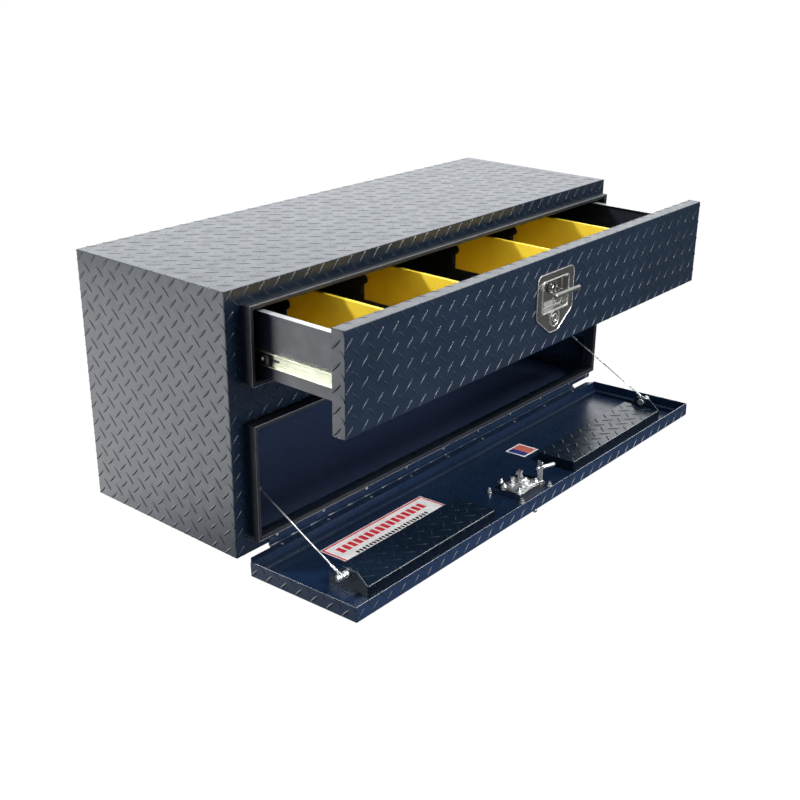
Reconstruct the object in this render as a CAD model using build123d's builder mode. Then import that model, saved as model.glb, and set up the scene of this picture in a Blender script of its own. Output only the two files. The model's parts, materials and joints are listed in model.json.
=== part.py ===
from build123d import *

import os
from math import cos, radians, sin

# Underbody truck tool box with one wide drawer over a drop-down door.
# Millimetres. X runs along the front, Y into the box, Z up.
# The origin is the front left bottom corner of the cabinet.
# Rest pose: drawer pulled out, door hanging open on its cables, both handles folded out.

# ---- driving dimensions -------------------------------------------------------------
WIDTH = 1219.2          # cabinet, 48 in
DEPTH = 406.4           # cabinet, 16 in
HEIGHT = 508.0          # cabinet, 20 in
SHEET = 1.6             # tread plate and smooth sheet

STILE = 34.0            # side of the cabinet to the outer face of an opening lip
DRAWER_SILL = 338.0     # lower outer face of the drawer opening lip
DRAWER_HEAD = 478.0     # upper outer face of the drawer opening lip
DOOR_SILL = 36.0
DOOR_HEAD = 257.5
LIP_REACH = 22.0        # lip sheet standing forward of the face
SEAL_START = 15.0       # where the rubber seal begins on the lip
SEAL_REACH = 29.0       # front of the seal bulb
SEAL_SIDE = 3.7         # rubber on each side of the lip sheet
DECK_LEVEL = 331.0      # sheet between the drawer bay and the door bay

FRONT_MARGIN = 13.0     # cabinet side to the side of the drawer front and of the door
DRAWER_SHOWN = 228.2    # how far the drawer stands open at rest
DRAWER_SKIN = -31.5     # outer face of the drawer front when closed
DRAWER_LOW = 311.0
DRAWER_HIGH = 496.0
DRAWER_FLANGE = 28.0

TRAY_SIDE = 58.7        # cabinet side to the outer face of the tray side
TRAY_FLOOR = 346.0
TRAY_TOP = 465.0
TRAY_LENGTH = 400.0
TRAY_FLANGE = 12.5

SLIDE_MID = 384.0       # centre height of the slides
SLIDE_TALL = 26.0
SLIDE_THICK = 12.7
SLIDE_LENGTH = 356.0
SLIDE_SHEET = 1.5

DOOR_OPEN = radians(87.7)
HINGE_Y = -3.3
HINGE_Z = -6.1
DOOR_SKIN = -31.0       # outer face of the door when closed
DOOR_LOW = 12.0         # lower edge of the door when closed
DOOR_TALL = 260.0
DOOR_FLANGE = 29.2
HINGE_WALL = 27.3       # depth of the door wall that carries the hinge
KNUCKLE_R = 3.0
PIN_R = 1.2
LEAF = 1.3

LATCH_X = 613.0         # both latches, near the middle of the front
DRAWER_HUB_Z = 427.0    # turning axis of the drawer handle
DOOR_HUB = 192.0        # turning axis of the door handle, up from the hinge edge
DOOR_TURN = 70.0        # degrees the door handle is turned from its locked position

BIN_TOP = 452.0
BIN_FRONT = -212.0      # at rest
BIN_REAR = 130.0
BINS = ((149.0, 236.0), (356.0, 455.0), (641.0, 767.0), (850.0, 1003.0))

os.makedirs("parts", exist_ok=True)


def finish(part, label):
    """Name a finished piece and write it."""
    part.label = label
    export_step(part, f"parts/{label}.step")


def block(low, high, mode=Mode.ADD):
    """Add or cut a box between two corners, in the frame of the piece being built."""
    size = [b - a for a, b in zip(low, high)]
    middle = [(a + b) / 2 for a, b in zip(low, high)]
    with Locations(tuple(middle)):
        Box(*size, mode=mode)


def rod(centre, radius, length, axis, mode=Mode.ADD):
    """Add or cut a cylinder centred on a point, along one axis of the piece's frame."""
    turn = {"x": (0, 90, 0), "y": (90, 0, 0), "z": (0, 0, 0)}[axis]
    with Locations(Location(centre, turn)):
        Cylinder(radius, length, mode=mode)


def ring(x0, x1, z0, z1, wall, y0, y1):
    """Add a rectangular frame of even wall that lies in the front plane."""
    block((x0, y0, z0), (x1, y1, z1))
    block((x0 + wall, y0 - 1, z0 + wall), (x1 - wall, y1 + 1, z1 - wall), Mode.SUBTRACT)


# ---- frames of the moving groups ------------------------------------------------------
# The drawer is drawn closed and stands DRAWER_SHOWN forward at rest.
drawer_frame = Plane(origin=(0, -DRAWER_SHOWN, 0))

# Door frame: x along the width, y from the free edge (-DOOR_TALL) to the hinge edge (0),
# z from the skin's outer face into the box. It is the closed door turned about the hinge.
skin_y = DOOR_SKIN - HINGE_Y
skin_z = DOOR_LOW - HINGE_Z
door_origin = (
    0,
    HINGE_Y + skin_y * cos(DOOR_OPEN) - skin_z * sin(DOOR_OPEN),
    HINGE_Z + skin_y * sin(DOOR_OPEN) + skin_z * cos(DOOR_OPEN),
)
door_frame = Plane(origin=door_origin, x_dir=(1, 0, 0), z_dir=(0, cos(DOOR_OPEN), sin(DOOR_OPEN)))


# ---- cabinet --------------------------------------------------------------------------
with BuildPart() as body_wrap:
    block((0, SHEET, 0), (WIDTH, DEPTH, HEIGHT))
    block((SHEET, 0, -1), (WIDTH - SHEET, DEPTH + 1, HEIGHT - SHEET), Mode.SUBTRACT)
finish(body_wrap.part, "body_wrap")

with BuildPart() as back_panel:
    block((SHEET, DEPTH - SHEET, SHEET), (WIDTH - SHEET, DEPTH, HEIGHT - SHEET))
finish(back_panel.part, "back_panel")

with BuildPart() as floor_panel:
    block((SHEET, SHEET, 0), (WIDTH - SHEET, DEPTH, SHEET))
finish(floor_panel.part, "floor_panel")

DECK_FLANGE = 18.0

with BuildPart() as middle_deck:
    block((SHEET, SHEET, DECK_LEVEL), (WIDTH - SHEET, DEPTH - SHEET, DECK_LEVEL + SHEET))
    for y in (SHEET, DEPTH - 2 * SHEET):
        block((SHEET, y, DECK_LEVEL - DECK_FLANGE), (WIDTH - SHEET, y + SHEET, DECK_LEVEL))
finish(middle_deck.part, "middle_deck")


def opening(z0, z1):
    """Cut one opening in the face and stand a lip around it."""
    inner = STILE + SHEET
    block((STILE, -LIP_REACH, z0), (WIDTH - STILE, 0, z1))
    block((inner, -LIP_REACH - 1, z0 + SHEET), (WIDTH - inner, SHEET + 1, z1 - SHEET), Mode.SUBTRACT)


with BuildPart() as face_frame:
    block((0, 0, 0), (WIDTH, SHEET, HEIGHT))
    opening(DRAWER_SILL, DRAWER_HEAD)
    opening(DOOR_SILL, DOOR_HEAD)
finish(face_frame.part, "face_frame")


def opening_seal(z0, z1):
    """Rubber edge seal pushed over the lip: a grip on both faces and a bulb in front."""
    wall = 2 * SEAL_SIDE + SHEET
    out = SEAL_SIDE
    ring(STILE - out, WIDTH - STILE + out, z0 - out, z1 + out, wall, -SEAL_REACH, -SEAL_START)
    block((STILE, -LIP_REACH, z0), (WIDTH - STILE, -SEAL_START + 1, z1), Mode.SUBTRACT)
    inner = STILE + SHEET
    block((inner, -LIP_REACH, z0 + SHEET), (WIDTH - inner, -SEAL_START, z0 + wall - out))
    block((inner, -LIP_REACH, z1 - wall + out), (WIDTH - inner, -SEAL_START, z1 - SHEET))
    for x in (inner, WIDTH - inner - SEAL_SIDE):
        block((x, -LIP_REACH, z0 + SHEET), (x + SEAL_SIDE, -SEAL_START, z1 - SHEET))


with BuildPart() as drawer_opening_seal:
    opening_seal(DRAWER_SILL, DRAWER_HEAD)
    front = drawer_opening_seal.edges().group_by(Axis.Y)[0]
    fillet(front, 3.0)
finish(drawer_opening_seal.part, "drawer_opening_seal")

with BuildPart() as door_opening_seal:
    opening_seal(DOOR_SILL, DOOR_HEAD)
    front = door_opening_seal.edges().group_by(Axis.Y)[0]
    fillet(front, 3.0)
finish(door_opening_seal.part, "door_opening_seal")


# ---- drawer slides --------------------------------------------------------------------
# Each side has three members: a channel on the cabinet, an I section between, and a
# channel on the tray. The channels are mirror images with the I section riding in both.
slide_outer_x = TRAY_SIDE - SLIDE_THICK
slide_low = SLIDE_MID - SLIDE_TALL / 2
slide_high = SLIDE_MID + SLIDE_TALL / 2
SPACER_TALL = 36.0
SLIDE_FRONT = 5.0                         # front end of the cabinet member
INNER_FRONT = -20.0                       # front end of the tray member, drawer closed
MIDDLE_FRONT = DRAWER_SHOWN / 2 - 50.0    # front end of the I section, drawer closed
MIDDLE_LENGTH = 300.0
SLOT_FROM = 160.0                         # slotted hole in the tray member
SCREW_HEAD_R = 4.0
SCREW_HEAD = 1.6
OUTER_SCREWS = (60.0, 180.0, 310.0)
INNER_SCREWS = (190.0, 240.0, 290.0)     # drawer closed


def across(x0, x1, side):
    """Order an x range measured from one cabinet side, for the left or the right."""
    return (x0, x1) if side == "left" else (WIDTH - x1, WIDTH - x0)


for side in ("left", "right"):
    with BuildPart() as slide_spacer:
        x0, x1 = across(SHEET, slide_outer_x, side)
        y0, y1 = SLIDE_FRONT, SLIDE_FRONT + SLIDE_LENGTH
        z0, z1 = SLIDE_MID - SPACER_TALL / 2, SLIDE_MID + SPACER_TALL / 2
        block((x0, y0, z0), (x1, y1, z1))
        block((x0 + 2, y0 - 1, z0 + 2), (x1 - 2, y1 + 1, z1 - 2), Mode.SUBTRACT)
    finish(slide_spacer.part, f"slide_spacer_{side}")

    with BuildPart() as slide_outer:
        x0, x1 = across(slide_outer_x, slide_outer_x + 6.0, side)
        block((x0, SLIDE_FRONT, slide_low), (x1, SLIDE_FRONT + SLIDE_LENGTH, slide_high))
        x0, x1 = across(slide_outer_x + SLIDE_SHEET, slide_outer_x + 7.0, side)
        low = (x0, SLIDE_FRONT - 1, slide_low + SLIDE_SHEET)
        high = (x1, SLIDE_FRONT + SLIDE_LENGTH + 1, slide_high - SLIDE_SHEET)
        block(low, high, Mode.SUBTRACT)
    finish(slide_outer.part, f"slide_outer_{side}")

    with BuildPart(Plane(origin=(0, -DRAWER_SHOWN / 2, 0))) as slide_middle:
        y0, y1 = MIDDLE_FRONT, MIDDLE_FRONT + MIDDLE_LENGTH
        x0, x1 = across(slide_outer_x + 5.6, slide_outer_x + 7.1, side)
        block((x0, y0, SLIDE_MID - 10), (x1, y1, SLIDE_MID + 10))
        x0, x1 = across(slide_outer_x + 2.4, slide_outer_x + 10.3, side)
        for z in (SLIDE_MID - 10, SLIDE_MID + 10 - SLIDE_SHEET):
            block((x0, y0, z), (x1, y1, z + SLIDE_SHEET))
    finish(slide_middle.part, f"slide_middle_{side}")

    with BuildPart(drawer_frame) as slide_inner:
        y0, y1 = INNER_FRONT, INNER_FRONT + SLIDE_LENGTH
        x0, x1 = across(TRAY_SIDE - 6.0, TRAY_SIDE, side)
        block((x0, y0, slide_low), (x1, y1, slide_high))
        x0, x1 = across(TRAY_SIDE - 7.0, TRAY_SIDE - SLIDE_SHEET, side)
        low = (x0, y0 - 1, slide_low + SLIDE_SHEET)
        high = (x1, y1 + 1, slide_high - SLIDE_SHEET)
        block(low, high, Mode.SUBTRACT)
        # Slotted hole for front to back adjustment of the tray.
        x0, x1 = across(TRAY_SIDE - 7.0, TRAY_SIDE + 1.0, side)
        block((x0, SLOT_FROM, SLIDE_MID - 2.5), (x1, SLOT_FROM + 14, SLIDE_MID + 2.5), Mode.SUBTRACT)
    finish(slide_inner.part, f"slide_inner_{side}")

with BuildPart() as slide_outer_screws:
    for x in (slide_outer_x + SLIDE_SHEET, WIDTH - slide_outer_x - SLIDE_SHEET):
        inward = 1 if x < WIDTH / 2 else -1
        for y in OUTER_SCREWS:
            rod((x + inward * SCREW_HEAD / 2, y, SLIDE_MID), SCREW_HEAD_R, SCREW_HEAD, "x")
finish(slide_outer_screws.part, "slide_outer_screws")

with BuildPart(drawer_frame) as slide_inner_screws:
    for x in (TRAY_SIDE - SLIDE_SHEET, WIDTH - TRAY_SIDE + SLIDE_SHEET):
        outward = -1 if x < WIDTH / 2 else 1
        for y in INNER_SCREWS:
            rod((x + outward * SCREW_HEAD / 2, y, SLIDE_MID), SCREW_HEAD_R, SCREW_HEAD, "x")
finish(slide_inner_screws.part, "slide_inner_screws")


# ---- latches --------------------------------------------------------------------------
# One latch design serves the drawer and the door. Its own frame has its origin on the
# turning axis at the panel's outer face: x along the width, y up when closed, z outward.
PLATE_HALF = 63.5
PLATE_TOP = 37.0
PLATE_LOW = -87.0
PLATE_SHOULDER = -50.0
PLATE_SHEET = 1.8
PAN_HALF = 46.0
PAN_TOP = 22.0
PAN_LOW = -42.0
PAN_DEPTH = 14.0
PAN_SHEET = 1.4
PIVOT_DEPTH = 6.5
SHANK = 34.0            # pivot to the middle of the grip
GRIP_R = 5.0
GRIP_HALF = 43.0
HUB_R = 10.0
SHAFT_R = 6.0
HANDLE_PIN_R = 2.0
RUNNING = 0.05          # radial clearance of turning fits
PLUG_R = 7.0
PLUG_Y = -58.0
BOSS_OUT = 3.5
KEYWAY = 1.5
BOSS_WIDE = 30.0
BOSS_TALL = 35.0
STUD_X = 51.0
STUD_ROWS = (-52.0, 31.0)
SHANK_HALF = 3.0
SLOT_HALF = 3.3


def latch_plate(frame, label):
    """Stainless dish: shield-shaped plate, sunk pan for the handle, lock boss below it."""
    with BuildPart(frame) as plate:
        with BuildSketch(frame) as shield:
            with BuildLine():
                Polyline(
                    (-PLATE_HALF, PLATE_TOP),
                    (PLATE_HALF, PLATE_TOP),
                    (PLATE_HALF, PLATE_SHOULDER),
                    (14, PLATE_LOW),
                    (-14, PLATE_LOW),
                    (-PLATE_HALF, PLATE_SHOULDER),
                    close=True,
                )
            make_face()
            fillet(shield.vertices(), 13.0)
        extrude(amount=PLATE_SHEET)
        block((-PAN_HALF, PAN_LOW, -PAN_DEPTH), (PAN_HALF, PAN_TOP, PLATE_SHEET))
        inner = PAN_HALF - PAN_SHEET
        low = (-inner, PAN_LOW + PAN_SHEET, -PAN_DEPTH + PAN_SHEET)
        block(low, (inner, PAN_TOP - PAN_SHEET, PLATE_SHEET + 1), Mode.SUBTRACT)
        rod((0, 0, -PAN_DEPTH), SHAFT_R + RUNNING, 6, "z", Mode.SUBTRACT)
        with BuildSketch(frame.offset(PLATE_SHEET)) as boss:
            with Locations((0, PLUG_Y)):
                SlotCenterToCenter(BOSS_TALL - BOSS_WIDE, BOSS_WIDE, rotation=90)
        extrude(amount=BOSS_OUT - PLATE_SHEET)
        rod((0, PLUG_Y, BOSS_OUT / 2), PLUG_R + RUNNING, BOSS_OUT + 4, "z", Mode.SUBTRACT)
    finish(plate.part, label)


def lock_plug(frame, label):
    """Key plug that turns in the boss, with a keyway."""
    with BuildPart(frame) as plug:
        rod((0, PLUG_Y, BOSS_OUT / 2 - 0.5), PLUG_R, BOSS_OUT - 1, "z")
        low = (-4, PLUG_Y - 0.8, BOSS_OUT - 1 - KEYWAY)
        block(low, (4, PLUG_Y + 0.8, BOSS_OUT), Mode.SUBTRACT)
    finish(plug.part, label)


def handle_hub(frame, label, shaft_end):
    """Turning hub in the pan: a slotted head for the handle and a shaft through the floor."""
    floor = -PAN_DEPTH + PAN_SHEET
    with BuildPart(frame) as hub:
        low_z = floor + 0.2
        high_z = -1.0
        rod((0, 0, (low_z + high_z) / 2), HUB_R, high_z - low_z, "z")
        rod((0, 0, (low_z - shaft_end) / 2), SHAFT_R, low_z + shaft_end, "z")
        low = (-SLOT_HALF, -HUB_R - 1, floor + 0.4)
        block(low, (SLOT_HALF, HUB_R + 1, 1), Mode.SUBTRACT)
        rod((0, 0, -PIVOT_DEPTH), HANDLE_PIN_R, 2 * HUB_R + 2, "x", Mode.SUBTRACT)
    finish(hub.part, label)


def handle_pin(frame, label):
    """Cross pin in the hub, along the grip."""
    with BuildPart(frame) as pin:
        rod((0, 0, -PIVOT_DEPTH), HANDLE_PIN_R, 2 * HUB_R - 2, "x")
    finish(pin.part, label)


def folding_handle(frame, label):
    """T handle standing straight out: eye on the cross pin, flat shank and round grip."""
    grip_z = SHANK - PIVOT_DEPTH
    with BuildPart(frame) as handle:
        rod((0, 0, -PIVOT_DEPTH), 4.8, 2 * SHANK_HALF, "x")
        block((-SHANK_HALF, -4.0, -PIVOT_DEPTH), (SHANK_HALF, 4.0, grip_z))
        rod((0, 0, grip_z), GRIP_R, 2 * GRIP_HALF, "x")
        ends = handle.edges().filter_by(GeomType.CIRCLE).group_by(Axis.X)
        fillet(ends[0] + ends[-1], 2.0)
        rod((0, 0, -PIVOT_DEPTH), HANDLE_PIN_R + RUNNING, 20, "x", Mode.SUBTRACT)
    finish(handle.part, label)


drawer_latch_frame = Plane(
    origin=(LATCH_X, DRAWER_SKIN - DRAWER_SHOWN, DRAWER_HUB_Z),
    x_dir=(1, 0, 0),
    z_dir=(0, -1, 0),
)
# On the door the latch faces away from the box: z of the latch is -z of the door frame.
hub_at = door_frame.from_local_coords((LATCH_X, -DOOR_HUB, 0))
door_outward = door_frame.z_dir * -1
door_latch_frame = Plane(origin=hub_at, x_dir=(1, 0, 0), z_dir=door_outward)
turned = radians(DOOR_TURN)
grip_dir = door_latch_frame.x_dir * cos(turned) - door_latch_frame.y_dir * sin(turned)
door_handle_frame = Plane(origin=hub_at, x_dir=grip_dir, z_dir=door_outward)

latch_plate(drawer_latch_frame, "drawer_latch_plate")
latch_plate(door_latch_frame, "door_latch_plate")
lock_plug(drawer_latch_frame, "drawer_lock_plug")
lock_plug(door_latch_frame, "door_lock_plug")
handle_hub(drawer_latch_frame, "drawer_handle_hub", 20.0)
handle_hub(door_handle_frame, "door_handle_hub", 26.0)
handle_pin(drawer_latch_frame, "drawer_handle_pin")
handle_pin(door_handle_frame, "door_handle_pin")
folding_handle(drawer_latch_frame, "drawer_handle")
folding_handle(door_handle_frame, "door_handle")


def latch_studs(frame, label):
    """Four welded studs and nuts that hold the dish, behind the panel skin."""
    behind = -SHEET
    with BuildPart(frame) as studs:
        for x in (-STUD_X, STUD_X):
            for y in STUD_ROWS:
                rod((x, y, behind - 1.0), 6.0, 2.0, "z")
                rod((x, y, behind - 4.5), 4.2, 5.0, "z")
                rod((x, y, behind - 9.0), 2.5, 4.0, "z")
    finish(studs.part, label)


latch_studs(drawer_latch_frame, "drawer_latch_studs")
latch_studs(door_latch_frame, "door_latch_studs")

# Spring bolt of the drawer: drawn down while the handle stands out, 20 mm up when it
# folds in, so that it hooks behind the rail above the drawer opening.
BOLT_HALF = 8.0
BOLT_NEAR = -34.5
BOLT_FAR = -44.5
BOLT_TOP = 38.5
BOLT_GAP = 0.3

with BuildPart(drawer_latch_frame) as drawer_latch_housing:
    block((-20, 11, BOLT_FAR - 3), (20, 37, -PAN_DEPTH))
    low = (-BOLT_HALF - BOLT_GAP, 10, BOLT_FAR - BOLT_GAP)
    block(low, (BOLT_HALF + BOLT_GAP, 38, BOLT_NEAR + BOLT_GAP), Mode.SUBTRACT)
finish(drawer_latch_housing.part, "drawer_latch_housing")

with BuildPart(drawer_latch_frame) as drawer_latch_bolt:
    block((-BOLT_HALF, 2, BOLT_FAR), (BOLT_HALF, BOLT_TOP, BOLT_NEAR))
    lead = drawer_latch_bolt.edges().filter_by(Axis.X).sort_by(Axis.Z)[-1]
    chamfer(lead, 3.0)
finish(drawer_latch_bolt.part, "drawer_latch_bolt")

# Door latch arm: a plate on the hub shaft, a leg standing up from its end and a
# roller pin on the leg that swings behind the rail above the door opening.
ARM_REACH = 40.0
ARM_HIGH = 59.0
ROLLER_HIGH = 44.0
ROLLER_R = 4.5
ROLLER_LENGTH = 34.0
arm_bottom = -PAN_DEPTH - 1.0

with BuildPart(door_handle_frame) as door_latch_arm:
    block((-11, -12, arm_bottom - 3), (11, ARM_REACH + 3, arm_bottom))
    block((-8, ARM_REACH, -ARM_HIGH), (8, ARM_REACH + 3, arm_bottom))
    rod((0, 0, arm_bottom - 1.5), SHAFT_R, 5, "z", Mode.SUBTRACT)
    rod((0, ARM_REACH, -ROLLER_HIGH), 2.5, 12, "y", Mode.SUBTRACT)
finish(door_latch_arm.part, "door_latch_arm")

with BuildPart(door_handle_frame) as door_latch_roller:
    rod((0, ARM_REACH + 3 + ROLLER_LENGTH / 2, -ROLLER_HIGH), ROLLER_R, ROLLER_LENGTH, "y")
    rod((0, ARM_REACH, -ROLLER_HIGH), 2.5, 12, "y")
    rod((0, ARM_REACH - 3, -ROLLER_HIGH), 4.5, 6, "y")
finish(door_latch_roller.part, "door_latch_roller")

with BuildPart(door_handle_frame) as door_latch_clamp:
    rod((0, 0, arm_bottom - 5.5), 10.0, 5, "z")
    block((-3, -9, arm_bottom - 16), (3, 5, arm_bottom - 8))
    rod((0, 0, arm_bottom - 5), SHAFT_R, 12, "z", Mode.SUBTRACT)
finish(door_latch_clamp.part, "door_latch_clamp")


# ---- drawer ---------------------------------------------------------------------------
with BuildPart(drawer_frame) as drawer_front:
    x0, x1 = FRONT_MARGIN, WIDTH - FRONT_MARGIN
    y0, y1 = DRAWER_SKIN, DRAWER_SKIN + DRAWER_FLANGE
    block((x0, y0, DRAWER_LOW), (x1, y1, DRAWER_HIGH))
    low = (x0 + SHEET, y0 + SHEET, DRAWER_LOW + SHEET)
    block(low, (x1 - SHEET, y1 + 1, DRAWER_HIGH - SHEET), Mode.SUBTRACT)
    # Opening for the latch pan.
    low = (LATCH_X - PAN_HALF, y0 - 1, DRAWER_HUB_Z + PAN_LOW)
    block(low, (LATCH_X + PAN_HALF, y0 + 5, DRAWER_HUB_Z + PAN_TOP), Mode.SUBTRACT)
finish(drawer_front.part, "drawer_front")

with BuildPart(drawer_frame) as drawer_tray:
    x0, x1 = TRAY_SIDE, WIDTH - TRAY_SIDE
    y0, y1 = DRAWER_SKIN + SHEET, DRAWER_SKIN + SHEET + TRAY_LENGTH
    block((x0, y0, TRAY_FLOOR), (x1, y1, TRAY_TOP))
    low = (x0 + SHEET, y0 + SHEET, TRAY_FLOOR + SHEET)
    block(low, (x1 - SHEET, y1 - SHEET, TRAY_TOP + 1), Mode.SUBTRACT)
    # The side walls end in flanges turned inward.
    for side in ("left", "right"):
        a, b = across(TRAY_SIDE, TRAY_SIDE + TRAY_FLANGE, side)
        block((a, y0, TRAY_TOP - SHEET), (b, y1, TRAY_TOP))
    # The front wall is notched around the back of the latch.
    low = (LATCH_X - PLATE_HALF, y0 - 1, TRAY_FLOOR + SHEET)
    block(low, (LATCH_X + PLATE_HALF, y0 + SHEET + 1, TRAY_TOP + 1), Mode.SUBTRACT)
finish(drawer_tray.part, "drawer_tray")

BIN_WALL = 2.0
BIN_RIM = 6.5
DIVIDER = 2.0
DIVIDER_TOP = 460.0
DIVIDER_LOW = 411.0
NOSE_R = 9.0
STEP_Y = 3.0            # where the divider steps up, at rest
tray_level = TRAY_FLOOR + SHEET

for number, (left, right) in enumerate(BINS, start=1):
    with BuildPart() as bin_part:
        block((left, BIN_FRONT, tray_level), (right, BIN_REAR, BIN_TOP))
        low = (left + BIN_WALL, BIN_FRONT + BIN_WALL, tray_level + BIN_WALL)
        block(low, (right - BIN_WALL, BIN_REAR - BIN_WALL, BIN_TOP + 1), Mode.SUBTRACT)
        # Rim turned out along the right wall, and the left wall cut low at the front.
        block((right, BIN_FRONT, BIN_TOP - BIN_WALL), (right + BIN_RIM, BIN_REAR, BIN_TOP))
        low = (left - 1, BIN_FRONT - 1, DIVIDER_LOW - 2)
        block(low, (left + BIN_WALL, STEP_Y + 6, BIN_TOP + 1), Mode.SUBTRACT)
    finish(bin_part.part, f"bin_{number}")

    # Divider plate against the bin's left wall: low at the front, high at the rear, with
    # a rounded nose where it steps up.
    with BuildPart() as divider:
        with BuildSketch(Plane(origin=(left - DIVIDER, 0, 0), x_dir=(0, 1, 0), z_dir=(1, 0, 0))):
            with BuildLine():
                nose = NOSE_R
                Line((BIN_FRONT, tray_level), (BIN_REAR, tray_level))
                Line((BIN_REAR, tray_level), (BIN_REAR, DIVIDER_TOP))
                Line((BIN_REAR, DIVIDER_TOP), (STEP_Y, DIVIDER_TOP))
                middle = (STEP_Y - nose, DIVIDER_TOP - nose)
                ThreePointArc((STEP_Y, DIVIDER_TOP), middle, (STEP_Y, DIVIDER_TOP - 2 * nose))
                Line((STEP_Y, DIVIDER_TOP - 2 * nose), (STEP_Y, DIVIDER_LOW))
                Line((STEP_Y, DIVIDER_LOW), (BIN_FRONT, DIVIDER_LOW))
                Line((BIN_FRONT, DIVIDER_LOW), (BIN_FRONT, tray_level))
            make_face()
        extrude(amount=DIVIDER)
    finish(divider.part, f"divider_{number}")


# ---- door -----------------------------------------------------------------------------
door_x0 = FRONT_MARGIN
door_x1 = WIDTH - FRONT_MARGIN
RETURN_REACH = 14.2     # return flange past the hinge wall, toward the hinge pin

with BuildPart(door_frame) as door_pan:
    block((door_x0, -DOOR_TALL, 0), (door_x1, 0, DOOR_FLANGE))
    low = (door_x0 + SHEET, -DOOR_TALL + SHEET, SHEET)
    block(low, (door_x1 - SHEET, -SHEET, DOOR_FLANGE + 1), Mode.SUBTRACT)
    # The hinge wall is lower than the others and carries a mitred return flange.
    block((door_x0 - 1, -SHEET - 0.1, HINGE_WALL), (door_x1 + 1, 1, DOOR_FLANGE + 1), Mode.SUBTRACT)
    with BuildSketch(door_frame.offset(HINGE_WALL - SHEET)):
        with BuildLine():
            Polyline(
                (door_x0, -SHEET),
                (door_x1, -SHEET),
                (door_x1 - RETURN_REACH, RETURN_REACH),
                (door_x0 + RETURN_REACH, RETURN_REACH),
                close=True,
            )
        make_face()
    extrude(amount=SHEET)
    # Opening for the latch pan.
    low = (LATCH_X - PAN_HALF, -DOOR_HUB - PAN_TOP, -1)
    block(low, (LATCH_X + PAN_HALF, -DOOR_HUB - PAN_LOW, SHEET + 1), Mode.SUBTRACT)
finish(door_pan.part, "door_pan")

STRIP_WIDE = 12.0
STRIP_EDGE = 8.0        # narrower along the free edge, to pass the seal
STRIP_HIGH = 8.5

with BuildPart(door_frame) as door_edge_strip:
    x0, x1 = door_x0 + SHEET, door_x1 - SHEET
    y0, y1 = -DOOR_TALL + SHEET, -SHEET
    block((x0, y0, SHEET), (x1, y1, SHEET + STRIP_HIGH))
    low = (x0 + STRIP_WIDE, y0 + STRIP_EDGE, 0)
    block(low, (x1 - STRIP_WIDE, y1 - STRIP_WIDE, 2 * STRIP_HIGH), Mode.SUBTRACT)
finish(door_edge_strip.part, "door_edge_strip")

STIFF_IN = 83.0         # cabinet side to the outer end of a stiffener
STIFF_LONG = 381.0
STIFF_NEAR = 130.0      # up from the hinge edge
STIFF_FAR = 224.0
STIFF_HIGH = 24.5
EAR_HIGH = 46.5
EAR_THICK = 3.0
EAR_TOP_FAR = 198.0     # the ear's level top, up from the hinge edge
EAR_TOP_NEAR = 164.0
EAR_NEAR = 150.0
STUD_UP = 177.0         # cable stud, up from the hinge edge
STUD_HIGH = 36.5
STUD_R = 4.0

for side in ("left", "right"):
    with BuildPart(door_frame) as stiffener:
        x0, x1 = across(STIFF_IN, STIFF_IN + STIFF_LONG, side)
        block((x0, -STIFF_FAR, SHEET), (x1, -STIFF_NEAR, STIFF_HIGH))
        low = (x0 + SHEET, -STIFF_FAR + SHEET, 0)
        block(low, (x1 - SHEET, -STIFF_NEAR - SHEET, STIFF_HIGH - SHEET), Mode.SUBTRACT)
        # Trapezoid ear at the outer end, drilled for the cable stud.
        ear_x, ear_far = across(STIFF_IN, STIFF_IN + EAR_THICK, side)
        ear_plane = Plane(
            origin=door_frame.from_local_coords((ear_x, 0, 0)),
            x_dir=door_frame.y_dir,
            z_dir=(1, 0, 0),
        )
        with BuildSketch(ear_plane):
            with BuildLine():
                Polyline(
                    (-STIFF_FAR, SHEET),
                    (-STIFF_FAR, STIFF_HIGH),
                    (-EAR_TOP_FAR, EAR_HIGH),
                    (-EAR_TOP_NEAR, EAR_HIGH),
                    (-EAR_NEAR, STIFF_HIGH),
                    (-EAR_NEAR, SHEET),
                    close=True,
                )
            make_face()
        extrude(amount=EAR_THICK)
        rod((ear_x, -STUD_UP, STUD_HIGH), STUD_R, 12, "x", Mode.SUBTRACT)
    finish(stiffener.part, f"door_stiffener_{side}")

CABLE_X = 68.0
CABLE_R = 1.5

with BuildPart(door_frame) as cable_studs:
    for side in ("left", "right"):
        x0, x1 = across(55.0, STIFF_IN + EAR_THICK, side)
        rod(((x0 + x1) / 2, -STUD_UP, STUD_HIGH), STUD_R, x1 - x0, "x")
        x0, x1 = across(STIFF_IN + EAR_THICK, STIFF_IN + EAR_THICK + 4.5, side)
        rod(((x0 + x1) / 2, -STUD_UP, STUD_HIGH), 7.5, x1 - x0, "x")
        for near, far, radius in ((58.0, 62.5, 6.8), (76.0, 82.8, 7.0)):
            x0, x1 = across(near, far, side)
            rod(((x0 + x1) / 2, -STUD_UP, STUD_HIGH), radius, x1 - x0, "x")
finish(cable_studs.part, "cable_studs")

ANCHOR_Y = 28.0
ANCHOR_Z = 129.5
ANCHOR_R = 3.0

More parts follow.
